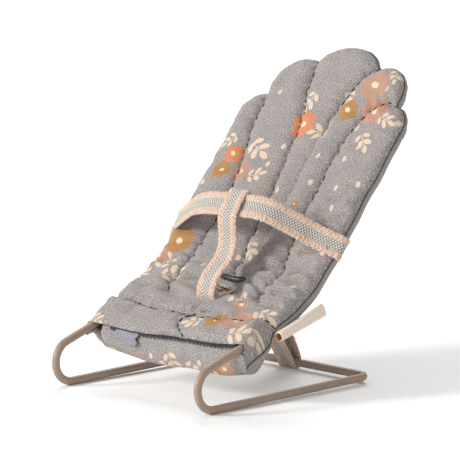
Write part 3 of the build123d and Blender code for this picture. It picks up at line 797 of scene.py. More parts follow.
def printed_cloth(name, colours):
    """Heathered cloth printed with flowers, sprigs and dots, placed by the piece's UV maps."""
    material, n, shader = new_material(name, 0.88, Sheen_Weight=0.04, Sheen_Roughness=0.5)
    place_on = cloth_place(n)
    shake = n.add("ShaderNodeTexNoise")
    n.put(place_on, shake.inputs["Vector"])
    shake.inputs["Scale"].default_value = 1.3
    shift = n.vector("SUBTRACT", shake.outputs[1], (0.5, 0.5, 0.5))
    yarn = n.group("Heathered yarn", Place=place_on, Scale=1.0)
    weave = n.group("Plain weave", Place=place_on, Pitch=0.42)
    base = n.mix(yarn["Warp"], colours["cloth_dark"], colours["cloth"])
    base = n.mix(n.math("MULTIPLY", yarn["Weft"], 0.62), base, colours["cloth_light"])
    base = n.mix(n.ramp(yarn["Cloud"], 0.3, 0.7, 0.0, 0.25), base, colours["cloth_dark"])
    at = {}
    for key, spread in (("flower", 0.16), ("sprig", 0.10), ("dot", 0.5)):
        uv = n.add("ShaderNodeUVMap", uv_map=key)
        at[key] = n.vector("ADD", uv.outputs[0], n.vector("SCALE", shift, scale=spread))
    bloom = n.group("Printed flower", Place=at["flower"], Centre=(0, 0, 0), Turn=0.0, Radius=1.0)
    sprig_at = n.vector("SCALE", at["sprig"], scale=10.0)
    sprig = n.group("Printed sprig", Place=sprig_at, Centre=(0, 0, 0), Turn=0.0, Size=10.0)
    dot = n.ramp(n.vector("LENGTH", n.vector("MULTIPLY", at["dot"], (1.0, 0.75, 1.0))), 1.1, 0.85)
    leaf = n.math("MAXIMUM", sprig["Mask"], dot)
    worn = n.ramp(n.noise(place_on, 2.4, 3.0, 0.75), 0.25, 0.5, 0.78, 1.0)
    base = n.mix(n.math("MULTIPLY", leaf, n.math("MULTIPLY", worn, 0.95)), base, colours["peach"])
    tone = n.add("ShaderNodeAttribute", attribute_name="flower_tone").outputs["Fac"]
    petal = n.mix(n.ramp(tone, 0.4, 0.6, smooth=False), colours["orange"], colours["ochre"])
    petal = n.mix(n.ramp(tone, 1.4, 1.6, smooth=False), petal, colours["pink"])
    petal = n.mix(n.ramp(yarn["Warp"], 0.1, 0.9, 0.36, 0.0), petal, colours["cloth_dark"])
    petal = n.mix(n.math("MULTIPLY", yarn["Weft"], 0.12), petal, colours["cloth_light"])
    base = n.mix(n.math("MULTIPLY", bloom["Petals"], worn), base, petal)
    base = n.mix(n.math("MULTIPLY", bloom["Heart"], 0.95), base, colours["cream"])
    # Painted shade between the yarns: the colour is darkened, and only the crowns of the yarns get some of it
    # back.
    shaded = n.mix(0.14, base, (0, 0, 0, 1))
    n.put(n.mix(n.math("MULTIPLY", weave["Yarn"], 0.25), shaded, base), shader["Base Color"])
    n.put(bump(n, weave["Height"], 0.6, 0.08), shader["Normal"])
    return material


def webbing_material(colours):
    """Cotton webbing: chunky braided cream edges and a salt-and-pepper woven middle."""
    material, n, shader = new_material("cotton_webbing", 0.85, Sheen_Weight=0.2)
    at = cloth_place(n)
    braid = n.group("Braid", Place=at)
    fuzz = n.noise(at, 2.6, 3.0, 0.7)
    coarse = n.noise(at, 1.1, 3.0, 0.7)
    # The cream edges vary at random in tone, and are darker in the grooves between the braid's strands, which
    # is painted shade: the same strand wave shapes their relief.
    strand = n.math("MULTIPLY_ADD", coarse, 1.1, n.math("MULTIPLY", braid["Strand"], 0.22))
    cream = n.mix(n.ramp(strand, 0.38, 0.95), colours["webbing_dark"], colours["webbing"])
    cream = n.mix(n.ramp(fuzz, 0.35, 0.7, 0.0, 0.6), cream, colours["webbing_light"])
    middle = n.mix(braid["Speck"], colours["weave_dark"], colours["weave_light"])
    middle = n.mix(n.ramp(fuzz, 0.42, 0.58, 0.0, 0.35), middle, colours["weave_mid"])
    n.put(n.mix(braid["Edge"], middle, cream), shader["Base Color"])
    height = n.math("ADD", n.math("MULTIPLY", strand, braid["Edge"]), n.math("MULTIPLY", fuzz, 0.9))
    n.put(bump(n, height, 0.7, 0.3, bump(n, braid["Speck"], 0.5, 0.12)), shader["Normal"])
    return material


def wire_material(colour):
    """Satin powder coat with fine orange peel and a few small chips."""
    material, n, shader = new_material("powder_coat", 0.42, Coat_Weight=0.08, Coat_Roughness=0.35)
    at = object_place(n)
    chip = n.ramp(n.noise(at, 0.42, 4.0, 0.75), 0.715, 0.735)
    tone = n.ramp(n.noise(at, 0.15, 3.0, 0.6), 0.3, 0.7, 0.0, 0.35)
    base = n.mix(tone, colour, tuple(v * 0.8 for v in colour[:3]) + (1.0,))
    n.put(n.mix(chip, base, srgb(222, 208, 190)), shader["Base Color"])
    n.put(n.ramp(n.noise(at, 1.2, 3.0, 0.6), 0.3, 0.7, 0.36, 0.5), shader["Roughness"])
    n.put(bump(n, n.noise(at, 2.6, 2.0, 0.5), 0.12, 0.06), shader["Normal"])
    return material


def yarn_material(name, dark, light, scale=6.0):
    """Twisted thread or fuzz: two tones in fine streaks, with a soft relief."""
    material, n, shader = new_material(name, 0.82, Sheen_Weight=0.2)
    at = object_place(n)
    streak = n.noise(n.vector("MULTIPLY", at, (1.0, 0.6, 0.6)), scale, 2.0, 0.6)
    n.put(n.mix(n.ramp(streak, 0.35, 0.65), dark, light), shader["Base Color"])
    n.put(bump(n, streak, 0.5, 0.06), shader["Normal"])
    return material


def tape_material(colours):
    """Woven label tape, cream and left blank, with painted shade between its yarns."""
    material, n, shader = new_material("label_tape", 0.7, Sheen_Weight=0.1)
    at = cloth_place(n)
    weave = n.group("Plain weave", Place=at, Pitch=0.55)
    cloud = n.noise(at, 0.35, 3.0, 0.6)
    tone = n.mix(n.ramp(cloud, 0.3, 0.7, 0.0, 0.5), colours["tape"], colours["tape_dark"])
    # Painted shade between the yarns: the cream tone is lightened on the yarns' crowns and left darker
    # between them.
    n.put(n.mix(n.math("MULTIPLY", weave["Yarn"], 0.3), tone, colours["tape_light"]), shader["Base Color"])
    n.put(bump(n, weave["Height"], 0.6, 0.09), shader["Normal"])
    return material


def cloth_colours():
    """Colours of the cloths and straps, with the ones a user may change."""
    picked = bpy.context.scene.bouncer_colours
    return {
        "cloth": tuple(picked.cloth),
        "cloth_dark": srgb(129, 122, 120), "cloth_light": srgb(226, 218, 212),
        "orange": tuple(picked.orange), "ochre": tuple(picked.ochre), "pink": tuple(picked.pink),
        "peach": tuple(picked.peach), "cream": srgb(232, 214, 186),
        "webbing": srgb(221, 193, 171), "webbing_dark": srgb(166, 132, 110),
        "webbing_light": srgb(238, 219, 203), "weave_dark": srgb(54, 54, 58),
        "weave_light": srgb(210, 204, 193), "weave_mid": srgb(160, 156, 150),
        "tape": srgb(233, 215, 198), "tape_dark": srgb(212, 190, 170), "tape_light": srgb(244, 232, 219),
    }


# ---------------------------------------------------------------- stitches by Geometry Nodes

def stitch_tree():
    """Geometry Nodes tree that lays rounded stitches one after another along a line of edges."""
    tree = bpy.data.node_groups.new("Stitches", "GeometryNodeTree")
    face = tree.interface
    face.new_socket(name="Geometry", in_out="INPUT", socket_type="NodeSocketGeometry")
    for label, default, low, high in (("Pitch", 0.0032, 0.0001, 1.0), ("Length", 0.0022, 0.0001, 1.0),
                                      ("Thickness", 0.0005, 0.00001, 1.0), ("Slant", 0.0, -3.2, 3.2),
                                      ("Unevenness", 0.12, 0.0, 1.0)):
        socket = face.new_socket(name=label, in_out="INPUT", socket_type="NodeSocketFloat")
        socket.default_value, socket.min_value, socket.max_value = default, low, high
    face.new_socket(name="Seed", in_out="INPUT", socket_type="NodeSocketInt")
    face.new_socket(name="Material", in_out="INPUT", socket_type="NodeSocketMaterial")
    face.new_socket(name="Geometry", in_out="OUTPUT", socket_type="NodeSocketGeometry")
    n = Nodes(tree)
    given = n.add("NodeGroupInput").outputs
    curve = n.add("GeometryNodeMeshToCurve")
    n.put(given["Geometry"], curve.inputs[0])
    even = n.add("GeometryNodeResampleCurve", mode="LENGTH")
    n.put(curve.outputs[0], even.inputs["Curve"])
    n.put(given["Pitch"], even.inputs["Length"])
    up = n.add("GeometryNodeInputNamedAttribute", data_type="FLOAT_VECTOR")
    up.inputs[0].default_value = "square_up"
    ahead = n.add("GeometryNodeInputTangent")
    first = n.add("FunctionNodeAlignRotationToVector", axis="X")
    n.put(ahead.outputs[0], first.inputs["Vector"])
    second = n.add("FunctionNodeAlignRotationToVector", axis="Z", pivot_axis="X")
    n.put(first.outputs[0], second.inputs["Rotation"])
    n.put(up.outputs[0], second.inputs["Vector"])
    index = n.add("GeometryNodeInputIndex")
    side = n.math("SUBTRACT", n.math("MULTIPLY", n.math("FLOORED_MODULO", index.outputs[0], 2.0), 2.0), 1.0)
    jitter = n.add("FunctionNodeRandomValue", data_type="FLOAT")
    jitter.inputs[2].default_value = -1.0
    jitter.inputs[3].default_value = 1.0
    n.put(given["Seed"], jitter.inputs["Seed"])
    wobble = n.math("MULTIPLY", jitter.outputs[1], given["Unevenness"])
    angle = n.math("ADD", n.math("MULTIPLY", side, given["Slant"]), wobble)
    spin = n.add("FunctionNodeAxisAngleToRotation")
    spin.inputs["Axis"].default_value = (0, 0, 1)
    n.put(angle, spin.inputs["Angle"])
    turned = n.add("FunctionNodeRotateRotation", rotation_space="LOCAL")
    n.put(second.outputs[0], turned.inputs[0])
    n.put(spin.outputs[0], turned.inputs[1])
    ball = n.add("GeometryNodeMeshUVSphere")
    ball.inputs["Segments"].default_value = 8
    ball.inputs["Rings"].default_value = 6
    ball.inputs["Radius"].default_value = 0.5
    size = n.add("ShaderNodeCombineXYZ")
    n.put(given["Length"], size.inputs[0])
    n.put(given["Thickness"], size.inputs[1])
    n.put(n.math("MULTIPLY", given["Thickness"], 0.8), size.inputs[2])
    put = n.add("GeometryNodeInstanceOnPoints")
    n.put(even.outputs[0], put.inputs["Points"])
    n.put(ball.outputs[0], put.inputs["Instance"])
    n.put(turned.outputs[0], put.inputs["Rotation"])
    n.put(size.outputs[0], put.inputs["Scale"])
    real = n.add("GeometryNodeRealizeInstances")
    n.put(put.outputs[0], real.inputs[0])
    smooth = n.add("GeometryNodeSetShadeSmooth")
    n.put(real.outputs[0], smooth.inputs[0])
    paint = n.add("GeometryNodeSetMaterial")
    n.put(smooth.outputs[0], paint.inputs[0])
    n.put(given["Material"], paint.inputs["Material"])
    n.put(paint.outputs[0], n.add("NodeGroupOutput").inputs[0])
    return tree


def stitches(name, lines, material, pitch, length, thickness, slant=0.0, unevenness=0.1, seed=1):
    """Stitches along lines, each given as (points, directions square to the cloth) in metres."""
    tree = bpy.data.node_groups.get("Stitches")
    if tree is None:
        tree = stitch_tree()
    sockets = {s.name: s.identifier for s in tree.interface.items_tree if s.in_out == "INPUT"}
    points, ups, edges = [], [], []
    for line, up in lines:
        first = len(points)
        points += [tuple(p) for p in line]
        ups += [tuple(u) for u in up]
        edges += [(first + k, first + k + 1) for k in range(len(line) - 1)]
    mesh = bpy.data.meshes.new(name)
    mesh.from_pydata(points, edges, [])
    layer = mesh.attributes.new("square_up", "FLOAT_VECTOR", "POINT")
    layer.data.foreach_set("vector", np.array(ups, np.float32).ravel())
    obj = bpy.data.objects.new(name, mesh)
    bpy.context.scene.collection.objects.link(obj)
    modifier = obj.modifiers.new("stitches", "NODES")
    modifier.node_group = tree
    values = {"Pitch": pitch * MM, "Length": length * MM, "Thickness": thickness * MM, "Slant": slant,
              "Unevenness": unevenness, "Seed": seed, "Material": material}
    for label, value in values.items():
        modifier[sockets[label]] = value
    applied(obj)
    if not obj.data.polygons:
        raise RuntimeError(f"{name} has no stitches")
    return obj


# ---------------------------------------------------------------- pieces

def wire_line():
    """Closed centre line of the bent wire, in metres."""
    tilt = math.atan((REAR_Z - 1.6) / (REAR_Y - BEND_Y))
    right = [(x, REAR_Y, REAR_Z) for x in np.linspace(0, HALF_FRAME - CORNER_R, 36)]
    for t in np.linspace(0, math.pi / 2, 9)[1:]:
        y = REAR_Y - CORNER_R + CORNER_R * math.cos(t)
        x = HALF_FRAME - CORNER_R + CORNER_R * math.sin(t)
        right.append((x, y, REAR_Z - (REAR_Y - y) * math.tan(tilt)))
    for y in np.linspace(REAR_Y - CORNER_R, BEND_Y, 60)[1:-1]:
        right.append((HALF_FRAME, y, REAR_Z - (REAR_Y - y) * math.tan(tilt)))
    for t in np.linspace(-math.pi / 2 + tilt, -math.pi * 1.5 + SEAT_ANGLE, 28):
        right.append((HALF_FRAME, BEND_Y + BEND_R * math.cos(t), BEND_Z + BEND_R * math.sin(t)))
    for run in np.arange(1.5, ARCH_RUN - ARCH_R, 1.5):
        y, z = side_point(run, 0)
        right.append((HALF_FRAME, float(y), float(z)))
    for t in np.linspace(0, math.pi / 2, 34):
        run = ARCH_RUN - ARCH_R + ARCH_R * math.sin(t)
        y, z = side_point(run, 0)
        right.append((HALF_FRAME - ARCH_R + ARCH_R * math.cos(t), float(y), float(z)))
    top_y, top_z = side_point(ARCH_RUN, 0)
    for x in (7.0, 3.5, 0.0):
        right.append((x, float(top_y), float(top_z)))
    left = [(-x, y, z) for x, y, z in right[1:-1]][::-1]
    return np.array(right + left) * MM


def build_wire(sizes):
    """Wire frame: one closed rod that bends at its front."""
    paint = bpy.data.materials["powder_coat"]
    wire = closed_rod("wire_frame", wire_line(), sizes.wire_thickness / MM / 2, 20, paint)
    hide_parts("floor_frame", "seat_frame")
    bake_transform(wire, "base", "seat", start=(0, BEND_Y * MM, 0.003), end=(0, BEND_Y * MM, 0.016))
    return wire


def build_cover(sizes):
    """Padded cover: its quilted top and its underside, which share the outline and the slot's rim."""
    places, faces, loop, hole = cover_triangles(0.8)
    x, run = places[:, 0], places[:, 1]
    top = cover_rise(x, run, sizes.quilting_depth)
    around = distance_to(places, slot_line())
    top = top - 0.9 * np.exp(-(around / 0.7) ** 2)
    under = cover_under(x, run, top)
    count = len(places)
    shared = set(loop)
    lower = {}
    points = [place(x, run, top)]
    extra = [i for i in range(count) if i not in shared]
    for k, i in enumerate(extra):
        lower[i] = count + k
    for i in shared:
        lower[i] = i
    points.append(place(x[extra], run[extra], under[extra]))
    every = list(faces) + [(lower[c], lower[b], lower[a]) for a, b, c in faces]
    for k, i in enumerate(hole):
        j = hole[(k + 1) % len(hole)]
        every.append((i, j, lower[j], lower[i]))
    uv = np.stack([x, run], axis=1) / 100
    uv = np.concatenate([uv, uv[extra]])
    linen = bpy.data.materials["printed_linen"]
    cover = make_object("quilted_cover", np.concatenate(points), every, linen, uv)
    outward(cover)
    lay_print(cover, FLOWERS, SPRIGS, DOTS)
    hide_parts("front_panel", "wadding", "lining")
    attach(cover, "seat")
    return cover


def rear_rise(x, run):
    """Height of the rear cloth: flat under the wires, with its rim turned up towards the side seam."""
    points = np.stack([x, run], axis=1)
    edge = distance_to(points, SIDE_EDGE, closed=False)
    seam = seam_rise(x, run)
    level = np.minimum(REAR_LEVEL, seam - 1.6)
    sag = 0.9 * np.clip(edge / 12, 0, 1) * np.clip((run - 34) / 20, 0, 1)
    creased = 0.45 * soft_noise(x, run, 4.4, 13.0) + 0.2 * soft_noise(x, run, 8.8, 4.5)
    lift = np.clip(edge / 6, 0, 1)
    base = np.where(run < 40, level + (REAR_LEVEL - level) * lift, REAR_LEVEL)
    rise = base - sag + np.minimum(creased, 0.35) * lift
    for name in ("left", "centre_left", "centre_right", "right"):
        gap = distance_to(points, LINES[name], closed=False)
        rise = rise + 0.5 * np.exp(-(gap / 1.3) ** 2)
    rise = np.minimum(rise, REAR_HIGHEST)
    front = np.maximum(run - front_edge(x), 0)
    tucked = np.clip((np.abs(x) - 41.2) / 1.4, 0, 1) * (1 - np.clip(front / 7.0, 0, 1))
    rise = rise + (seam - 0.6 - rise) * tucked
    turned = 1 - np.clip(edge / 2.5, 0, 1)
    return rise + (seam - 1.9 - rise) * turned ** 1.5


def build_back():
    """Rear cloth, with its rim sewn to the side seam and its front open between the legs."""
    half = OPENING_HALF
    corners = ((-half, 8.0), (-half, OPENING_RUN), (half, OPENING_RUN), (half, 8.0))
    cuts = [np.stack([np.linspace(a[0], b[0], 90), np.linspace(a[1], b[1], 90)], axis=1)
            for a, b in zip(corners[:-1], corners[1:])]
    places, faces, loop, _ = cover_triangles(1.1, with_slot=False, cuts=cuts)
    x, run = places[:, 0], places[:, 1]
    rise = rear_rise(x, run)
    points = [place(x, run, rise)]
    line = OUTLINE
    out = square_to(line)
    first = len(x)
    n = len(line)
    seam_at = seam_rise(line[:, 0], line[:, 1])
    foot = rise[loop]
    gone = np.arange(n) * OUTLINE_STEP
    wave = 0.18 * np.sin(gone / 2.1) + 0.12 * np.sin(gone / 0.9)
    uv = [places / 100]
    for part, push in ((0.18, 0.42), (0.5, 0.66), (0.82, 0.45), (1.0, -0.05)):
        ring = line + out * (push + wave * (0.8 if part < 0.9 else 0.0))[:, None]
        points.append(place(ring[:, 0], ring[:, 1], foot + (seam_at - 0.1 - foot) * part))
        uv.append((line + out * 5.0 * part) / 100)
    mid = places[np.array(faces)].mean(axis=1)
    open_front = (np.abs(mid[:, 0]) < half) & (mid[:, 1] < OPENING_RUN)
    every = [f[::-1] for f, cut_away in zip(faces, open_front) if not cut_away]
    leg_side = [abs(x_at) > half + 0.1 or run_at > OPENING_RUN + 0.5 for x_at, run_at in line]
    rings = [loop] + [[first + r * n + k for k in range(n)] for r in range(4)]
    for a, b in zip(rings[:-1], rings[1:]):
        for k in range(n):
            j = (k + 1) % n
            if leg_side[k] and leg_side[j] and not (k < FRONT_POINTS and j <= FRONT_POINTS):
                every.append((a[k], a[j], b[j], b[k]))
    back = make_object("rear_cloth", np.concatenate(points), every, bpy.data.materials["printed_linen"],
                       np.concatenate(uv))
    clean_loose(back)
    outward(back)
    lay_print(back, BACK_FLOWERS, BACK_SPRIGS, BACK_DOTS)
    wall = back.modifiers.new("wall", "SOLIDIFY")
    wall.thickness = REAR_WALL * MM
    wall.offset = -1.0
    applied(back)
    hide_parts("back_panel")
    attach(back, "seat")
    return back


def clean_loose(obj):
    """Removes points that no face uses."""
    work = bmesh.new()
    work.from_mesh(obj.data)
    loose = [v for v in work.verts if not v.link_faces]
    bmesh.ops.delete(work, geom=loose, context="VERTS")
    work.to_mesh(obj.data)
    work.free()


def pouch_bottom(x):
    """Height in millimetres of the pouch's lowest line across the seat."""
    return np.interp(x, (-41, -39, -33, -27, -14, -3, 10, 23, 30, 38.6),
                     (16.2, 14.9, 13.6, 12.7, 11.0, 10.7, 11.1, 10.9, 11.2, 12.4))


def flap_line(x):
    """The closing flap's side view at one place across, as (y, z) in millimetres, from fold to hinge."""
    run = min(float(front_edge(min(abs(x), 40.5) * math.copysign(1, x))), 19.0)
    drawn = float(np.clip((abs(x) - 35.0) / 2.5, 0, 1))
    start = (float(fold_rise(x)) - 1.0) * (1 - drawn) + REAR_LEVEL * drawn
    y0, z0 = side_point(run + 1.3 + 0.6 * drawn, start)
    y0, z0 = float(y0), float(z0)
    low = float(pouch_bottom(x))
    drop = z0 - low
    ease = 1 - 0.8 * float(np.clip((abs(x) - 39.6) / 2.8, 0, 1)) ** 2
    hang = [(y0 + 0.2, z0 + 0.3), (y0 - 0.8, z0 - 0.30 * drop), (y0 - 0.5, z0 - 0.66 * drop)]
    back = [(y0 + 1.6, low + 0.4), (y0 + 5.2, low + 0.9), (y0 + 8.6, low + 0.42 * (24 - low))]
    line = smooth_line(hang + back + [(-13.4, 23.2), (HINGE_Y, 24.4)], 0.2)[:, :2]
    middle = np.stack([np.linspace(y0, HINGE_Y, len(line)), np.linspace(z0 - 1.5, 23.4, len(line))], axis=1)
    return middle + (line - middle) * ease


def build_flap():
    """Closing flap: hangs from the front fold as a shallow pouch and joins the rear cloth behind."""
    xs = np.arange(-FLAP_HALF, FLAP_HALF + 0.01, FLAP_STEP)
    rows = []
    lengths = []
    for x in xs:
        line = flap_line(x)
        gone = np.concatenate([[0], np.cumsum(np.linalg.norm(np.diff(line, axis=0), axis=1))])
        at = np.linspace(0, gone[-1], FLAP_ROWS)
        across = np.full(FLAP_ROWS, x)
        rows.append(np.stack([across, np.interp(at, gone, line[:, 0]), np.interp(at, gone, line[:, 1])], 1))
        lengths.append(np.arange(FLAP_ROWS) * gone[-1] / (FLAP_ROWS - 1))
    grid = np.array(rows)
    m, k, _ = grid.shape
    flat = grid.reshape(-1, 3)
    v = np.concatenate(lengths)
    fold = 0.75 * soft_noise(flat[:, 0], v * 0.45, 2.2, 7.5) + 0.25 * soft_noise(flat[:, 0], v, 5.5, 3.0)
    hold = np.clip(v / 3.0, 0, 1) * np.clip((v.max() - v) / 4.0, 0, 1)
    slant = 0.55 * np.sin((flat[:, 0] * 0.55 + v * 0.42) / 2.6) * np.exp(-((v - 8) / 6) ** 2)
    flat = flat + np.stack([np.zeros(len(v)), -(fold + slant) * hold, 0.25 * fold * hold], axis=1)
    faces = []
    for i in range(m - 1):
        for j in range(k - 1):
            a = i * k + j
            faces.append((a, a + k, a + k + 1, a + 1))
    uv = np.stack([flat[:, 0], 6.0 - v], axis=1) / 100
    flap = make_object("closing_flap", flat * MM, faces, bpy.data.materials["printed_linen"], uv)
    outward(flap)
    lay_print(flap, FLAP_FLOWERS, FLAP_SPRIGS, FLAP_DOTS)
    wall = flap.modifiers.new("wall", "SOLIDIFY")
    wall.thickness = FLAP_WALL * MM
    wall.offset = 0.0
    applied(flap)
    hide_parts("closure_flap")
    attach(flap, "flap")
    return flap


def fuzzy_strip(name, points, rows, node, body):
    """Strip of fuzzy fastening tape from rows of points in millimetres, with its nap as small lumps."""
    points = np.array(points)
    lump = np.array([[0.0, -0.22 * abs(noise.noise(Vector((x * 1.9, y * 2.3, z * 2.3))))
                      - 0.12 * noise.noise(Vector((x * 5, y * 6, z * 6))), 0.0] for x, y, z in points])
    faces = []
    for i in range(len(points) // rows - 1):
        for j in range(rows - 1):
            a = i * rows + j
            faces.append((a, a + 1, a + rows + 1, a + rows))
    strip = make_object(name, (points + lump) * MM, faces, bpy.data.materials["loop_fuzz"])
    outward(strip)
    wall = strip.modifiers.new("wall", "SOLIDIFY")
    wall.thickness = TAPE_WALL * MM
    wall.offset = 0.0
    applied(strip)
    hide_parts(node)
    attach(strip, body)
    return strip


def build_closure():
    """Closing flap with the fuzzy patch on it, and the tape that the patch grips."""
    build_flap()
    patch = []
    for x in np.arange(-27.0, -14.4, 0.4):
        line = flap_line(x)
        for j in range(16):
            step = 2 + (1.45 + 0.25 * math.sin(x * 0.35 + 1)) * j
            y = np.interp(step, np.arange(len(line)), line[:, 0])
            z = np.interp(step, np.arange(len(line)), line[:, 1])
            patch.append((x + 0.5 * math.sin(j * 0.7), y - 1.25 - 0.35 * math.sin(j / 15 * math.pi), z))
    fuzzy_strip("loop_patch", patch, 16, "hook_strip", "flap")
    tape = []
    for x in np.arange(-33.0, 33.1, 0.6):
        for u in np.linspace(0, 1, 10):
            y, z = side_point(float(front_edge(x)) + 2.4 + 4.6 * u, float(fold_rise(x)) - 0.7)
            tape.append((x, float(y), float(z)))
    fuzzy_strip("loop_tape", tape, 10, "loop_strip", "seat")


def quilt_line(name):
    """One quilting line on the cover's surface, with the directions square to it."""
    line = LINES[name]
    return surface_frames(line[:, 0], line[:, 1], STITCH_LIFT)


def edge_lines():
    """The side seam, from the front round the lobed top and back to the front."""
    line = SIDE_EDGE
    out = square_to(line)
    out[0], out[-1] = out[1], out[-2]
    ring = line + out * 0.12
    up = out[:, 1:2] * slope(line[:, 1]) + out[:, 0:1] * np.array([[1.0, 0.0, 0.0]])
    return place(ring[:, 0], ring[:, 1], seam_rise(line[:, 0], line[:, 1])), up


def build_stitching(sizes):
    """Quilting, the side seam, and the overlocked hem and slot."""
    dark = bpy.data.materials["dark_thread"]
    pitch = sizes.stitch_pitch / MM
    nodes = {"left": "quilt_thread_left", "centre_left": "quilt_thread_centre_left",
             "centre_right": "quilt_thread_centre_right", "right": "quilt_thread_right",
             "cross": "cross_thread", "front": "front_thread"}
    for seed, name in enumerate(SEWN):
        piece = stitches("stitches_" + name, [quilt_line(name)], dark, pitch, pitch * STITCH_SHARE,
                         STITCH_THICK, 0.0, 0.14, seed)
        finish_thread(piece, nodes[name])
    seam = stitches("stitches_edge", [edge_lines()], dark, 1.5, 1.5, 0.34, 0.0, 0.05, 11)
    finish_thread(seam, "edge_seam_thread")
    xs = np.arange(-30.0, 37.0, 0.5)
    runs = front_edge(xs) + 0.1
    points = place(xs, runs, fold_rise(xs) - 0.75)
    up = np.tile(np.array([[0.0, -0.95, 0.31]]), (len(xs), 1))
    hem = stitches("overlock_hem", [(points, up)], dark, 1.0, 2.9, 0.75, 1.0, 0.3, 12)
    finish_thread(hem, "hem_thread")
    ring = slot_line()
    ring = np.concatenate([ring, ring[:1]])
    centre = np.array([SLOT_X, SLOT_RUN])
    wide = (ring - centre) * np.array([1.06, 1.5]) + centre
    around = surface_frames(wide[:, 0], wide[:, 1], 0.0)
    slot = stitches("overlock_slot", [around], dark, 0.9, 1.9, 0.5, 1.0, 0.35, 13)
    finish_thread(slot, "slot_thread")


def finish_thread(piece, node):
    """Hides the model's part that a sewn line stands for, and parents the line to the seat, which it moves
    with.
    """
    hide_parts(node)
    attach(piece, "seat")


def ribbon(name, centres, across, width, thick, material):
    """Webbing along a line: plump braided edges, a thinner woven middle, closed at both ends."""
    c = np.asarray(centres, float)
    w = np.asarray(across, float)
    ahead = np.gradient(c, axis=0)
    ahead /= np.linalg.norm(ahead, axis=1)[:, None]
    w = w - ahead * (w * ahead).sum(axis=1)[:, None]
    w /= np.linalg.norm(w, axis=1)[:, None]
    up = np.cross(w, ahead)
    gone = np.concatenate([[0], np.cumsum(np.linalg.norm(np.diff(c, axis=0), axis=1))]) / MM
    half = width / 2
    us = np.array([-1, -0.975, -0.92, -0.84, -0.74, -0.64, -0.54, -0.46, -0.40, -0.36, -0.30, -0.2, -0.1, 0])
    us = np.concatenate([us, -us[:-1][::-1]]) * half
    side = np.abs(us)
    braid = np.sqrt(np.clip(1 - ((side - 0.7 * half) / (0.3 * half)) ** 2, 0, 1))
    body = np.maximum(braid * thick * 0.5, np.where(side < 0.62 * half, thick * 0.27, 0))
    points, uv = [], []
    for side_of in (1, -1):
        cols = range(len(us)) if side_of == 1 else range(len(us) - 2, 0, -1)
        for j in cols:
            vee = np.abs(side[j] - 0.7 * half)
            rough = np.array([noise.noise(Vector((t / 1.1, us[j] * 0.8, 3.0 + side_of))) for t in gone])
            lump = (0.05 * np.sin((gone + vee * 0.9) * 3.7) + 0.5 * rough) * braid[j]
            fine = 0.05 * np.sin(gone * 5.2 + (math.pi if j % 2 else 0.0)) * (1 - braid[j])
            inner = 1.0 if 0 < j < len(us) - 1 else 0.0
            high = side_of * (body[j] + (lump + fine) * inner) * MM
            loose = np.array([noise.noise(Vector((t / 0.9, us[j], 8.0))) for t in gone])
            fray = (0.05 * np.sin(gone * 3.7 + j) + 0.6 * loose) * (side[j] > 0.9 * half)
            shift = (us[j] + math.copysign(1, us[j]) * fray) * MM
            points.append(c + w * shift[:, None] + up * high[:, None])
            uv.append(np.stack([np.full(len(c), us[j]), gone], axis=1) / 100)
    columns = len(points)
    rows = len(c)
    points = np.concatenate(points)
    uv = np.concatenate(uv)
    faces = []
    for j in range(columns):
        k = (j + 1) % columns
        for i in range(rows - 1):
            faces.append((j * rows + i, k * rows + i, k * rows + i + 1, j * rows + i + 1))
    faces.append(tuple(j * rows for j in range(columns)))
    faces.append(tuple(j * rows + rows - 1 for j in range(columns))[::-1])
    return outward(make_object(name, points, faces, material, uv))


def belt_line():
    """Centre line of the waist belt and the direction across it, in metres."""
    places = ((-46.6, -2.6), (-48.3, -0.6), (-46.6, 2.4), (-40, 7.4), (-33.5, 12.2), (-27, 16.8), (-22, 20.2),
              (-17, 22.9), (-8, 25.2), (4, 25.4), (16, 25.4), (22.6, 23.2), (27, 18.9), (32, 13.8), (36, 9.6),
              (42, 5.9), (46.2, 3.2), (46.4, 1.4))
    line = smooth_line(places, STRAP_STEP)
    run = BELT_RUN + 0.8 * np.sin(line[:, 0] / 15.0)
    centres = place(line[:, 0], run, line[:, 1])
    return centres, slope(run) + np.array([0.0, -0.10, 0.05])


def crotch_line():
    """Centre line of the crotch strap, out of the slot, round its loop and over the belt."""
    lie = [(run, float(cover_rise(SLOT_X, run)[0]) + 0.75) for run in (51.5, 47.0, 43.0)]
    places = [(SLOT_RUN + 0.3, -1.2), (SLOT_RUN, 1.2)] + lie
    places += [(39.6, 5.6), (38.6, 8.6), (41.0, 12.0), (45.0, 14.4), (50.0, 15.6), (56.5, 16.4),
               (63.0, 18.6), (69.5, 22.3), (74.6, 26.2), (78.0, 27.0), (82.0, 27.2), (85.6, 26.9),
               (87.2, 25.6), (85.8, 24.0), (82.0, 23.6), (78.5, 23.5)]
    line = smooth_line(places, STRAP_STEP)
    sway = SLOT_X + 0.9 * np.sin((line[:, 0] - 40) / 16.0)
    return place(sway, line[:, 0], line[:, 1])


def rear_line():
    """Centre line of the rear strap: down to the crossbar, round under it and back up to the seat."""
    front = [(13.6, 35.6), (17.5, 32.4), (25.0, 26.0), (33.0, 19.0), (39.6, 11.4), (43.0, 6.4)]
    turn = np.linspace(math.radians(-129), math.radians(26), 22)[3::4]
    knee = [(REAR_Y + CROSSBAR_R * math.cos(t), REAR_Z + CROSSBAR_R * math.sin(t)) for t in turn]
    rear = [(46.6, 9.6), (43.4, 15.4), (38.2, 22.2), (30.5, 28.8), (21.0, 34.2), (14.6, 37.2)]
    line = smooth_line(front + knee + rear, STRAP_STEP)
    x = -4.0 + 0.25 * np.sin(line[:, 1] / 7.0)
    return np.stack([x, line[:, 0], line[:, 1]], axis=1) * MM


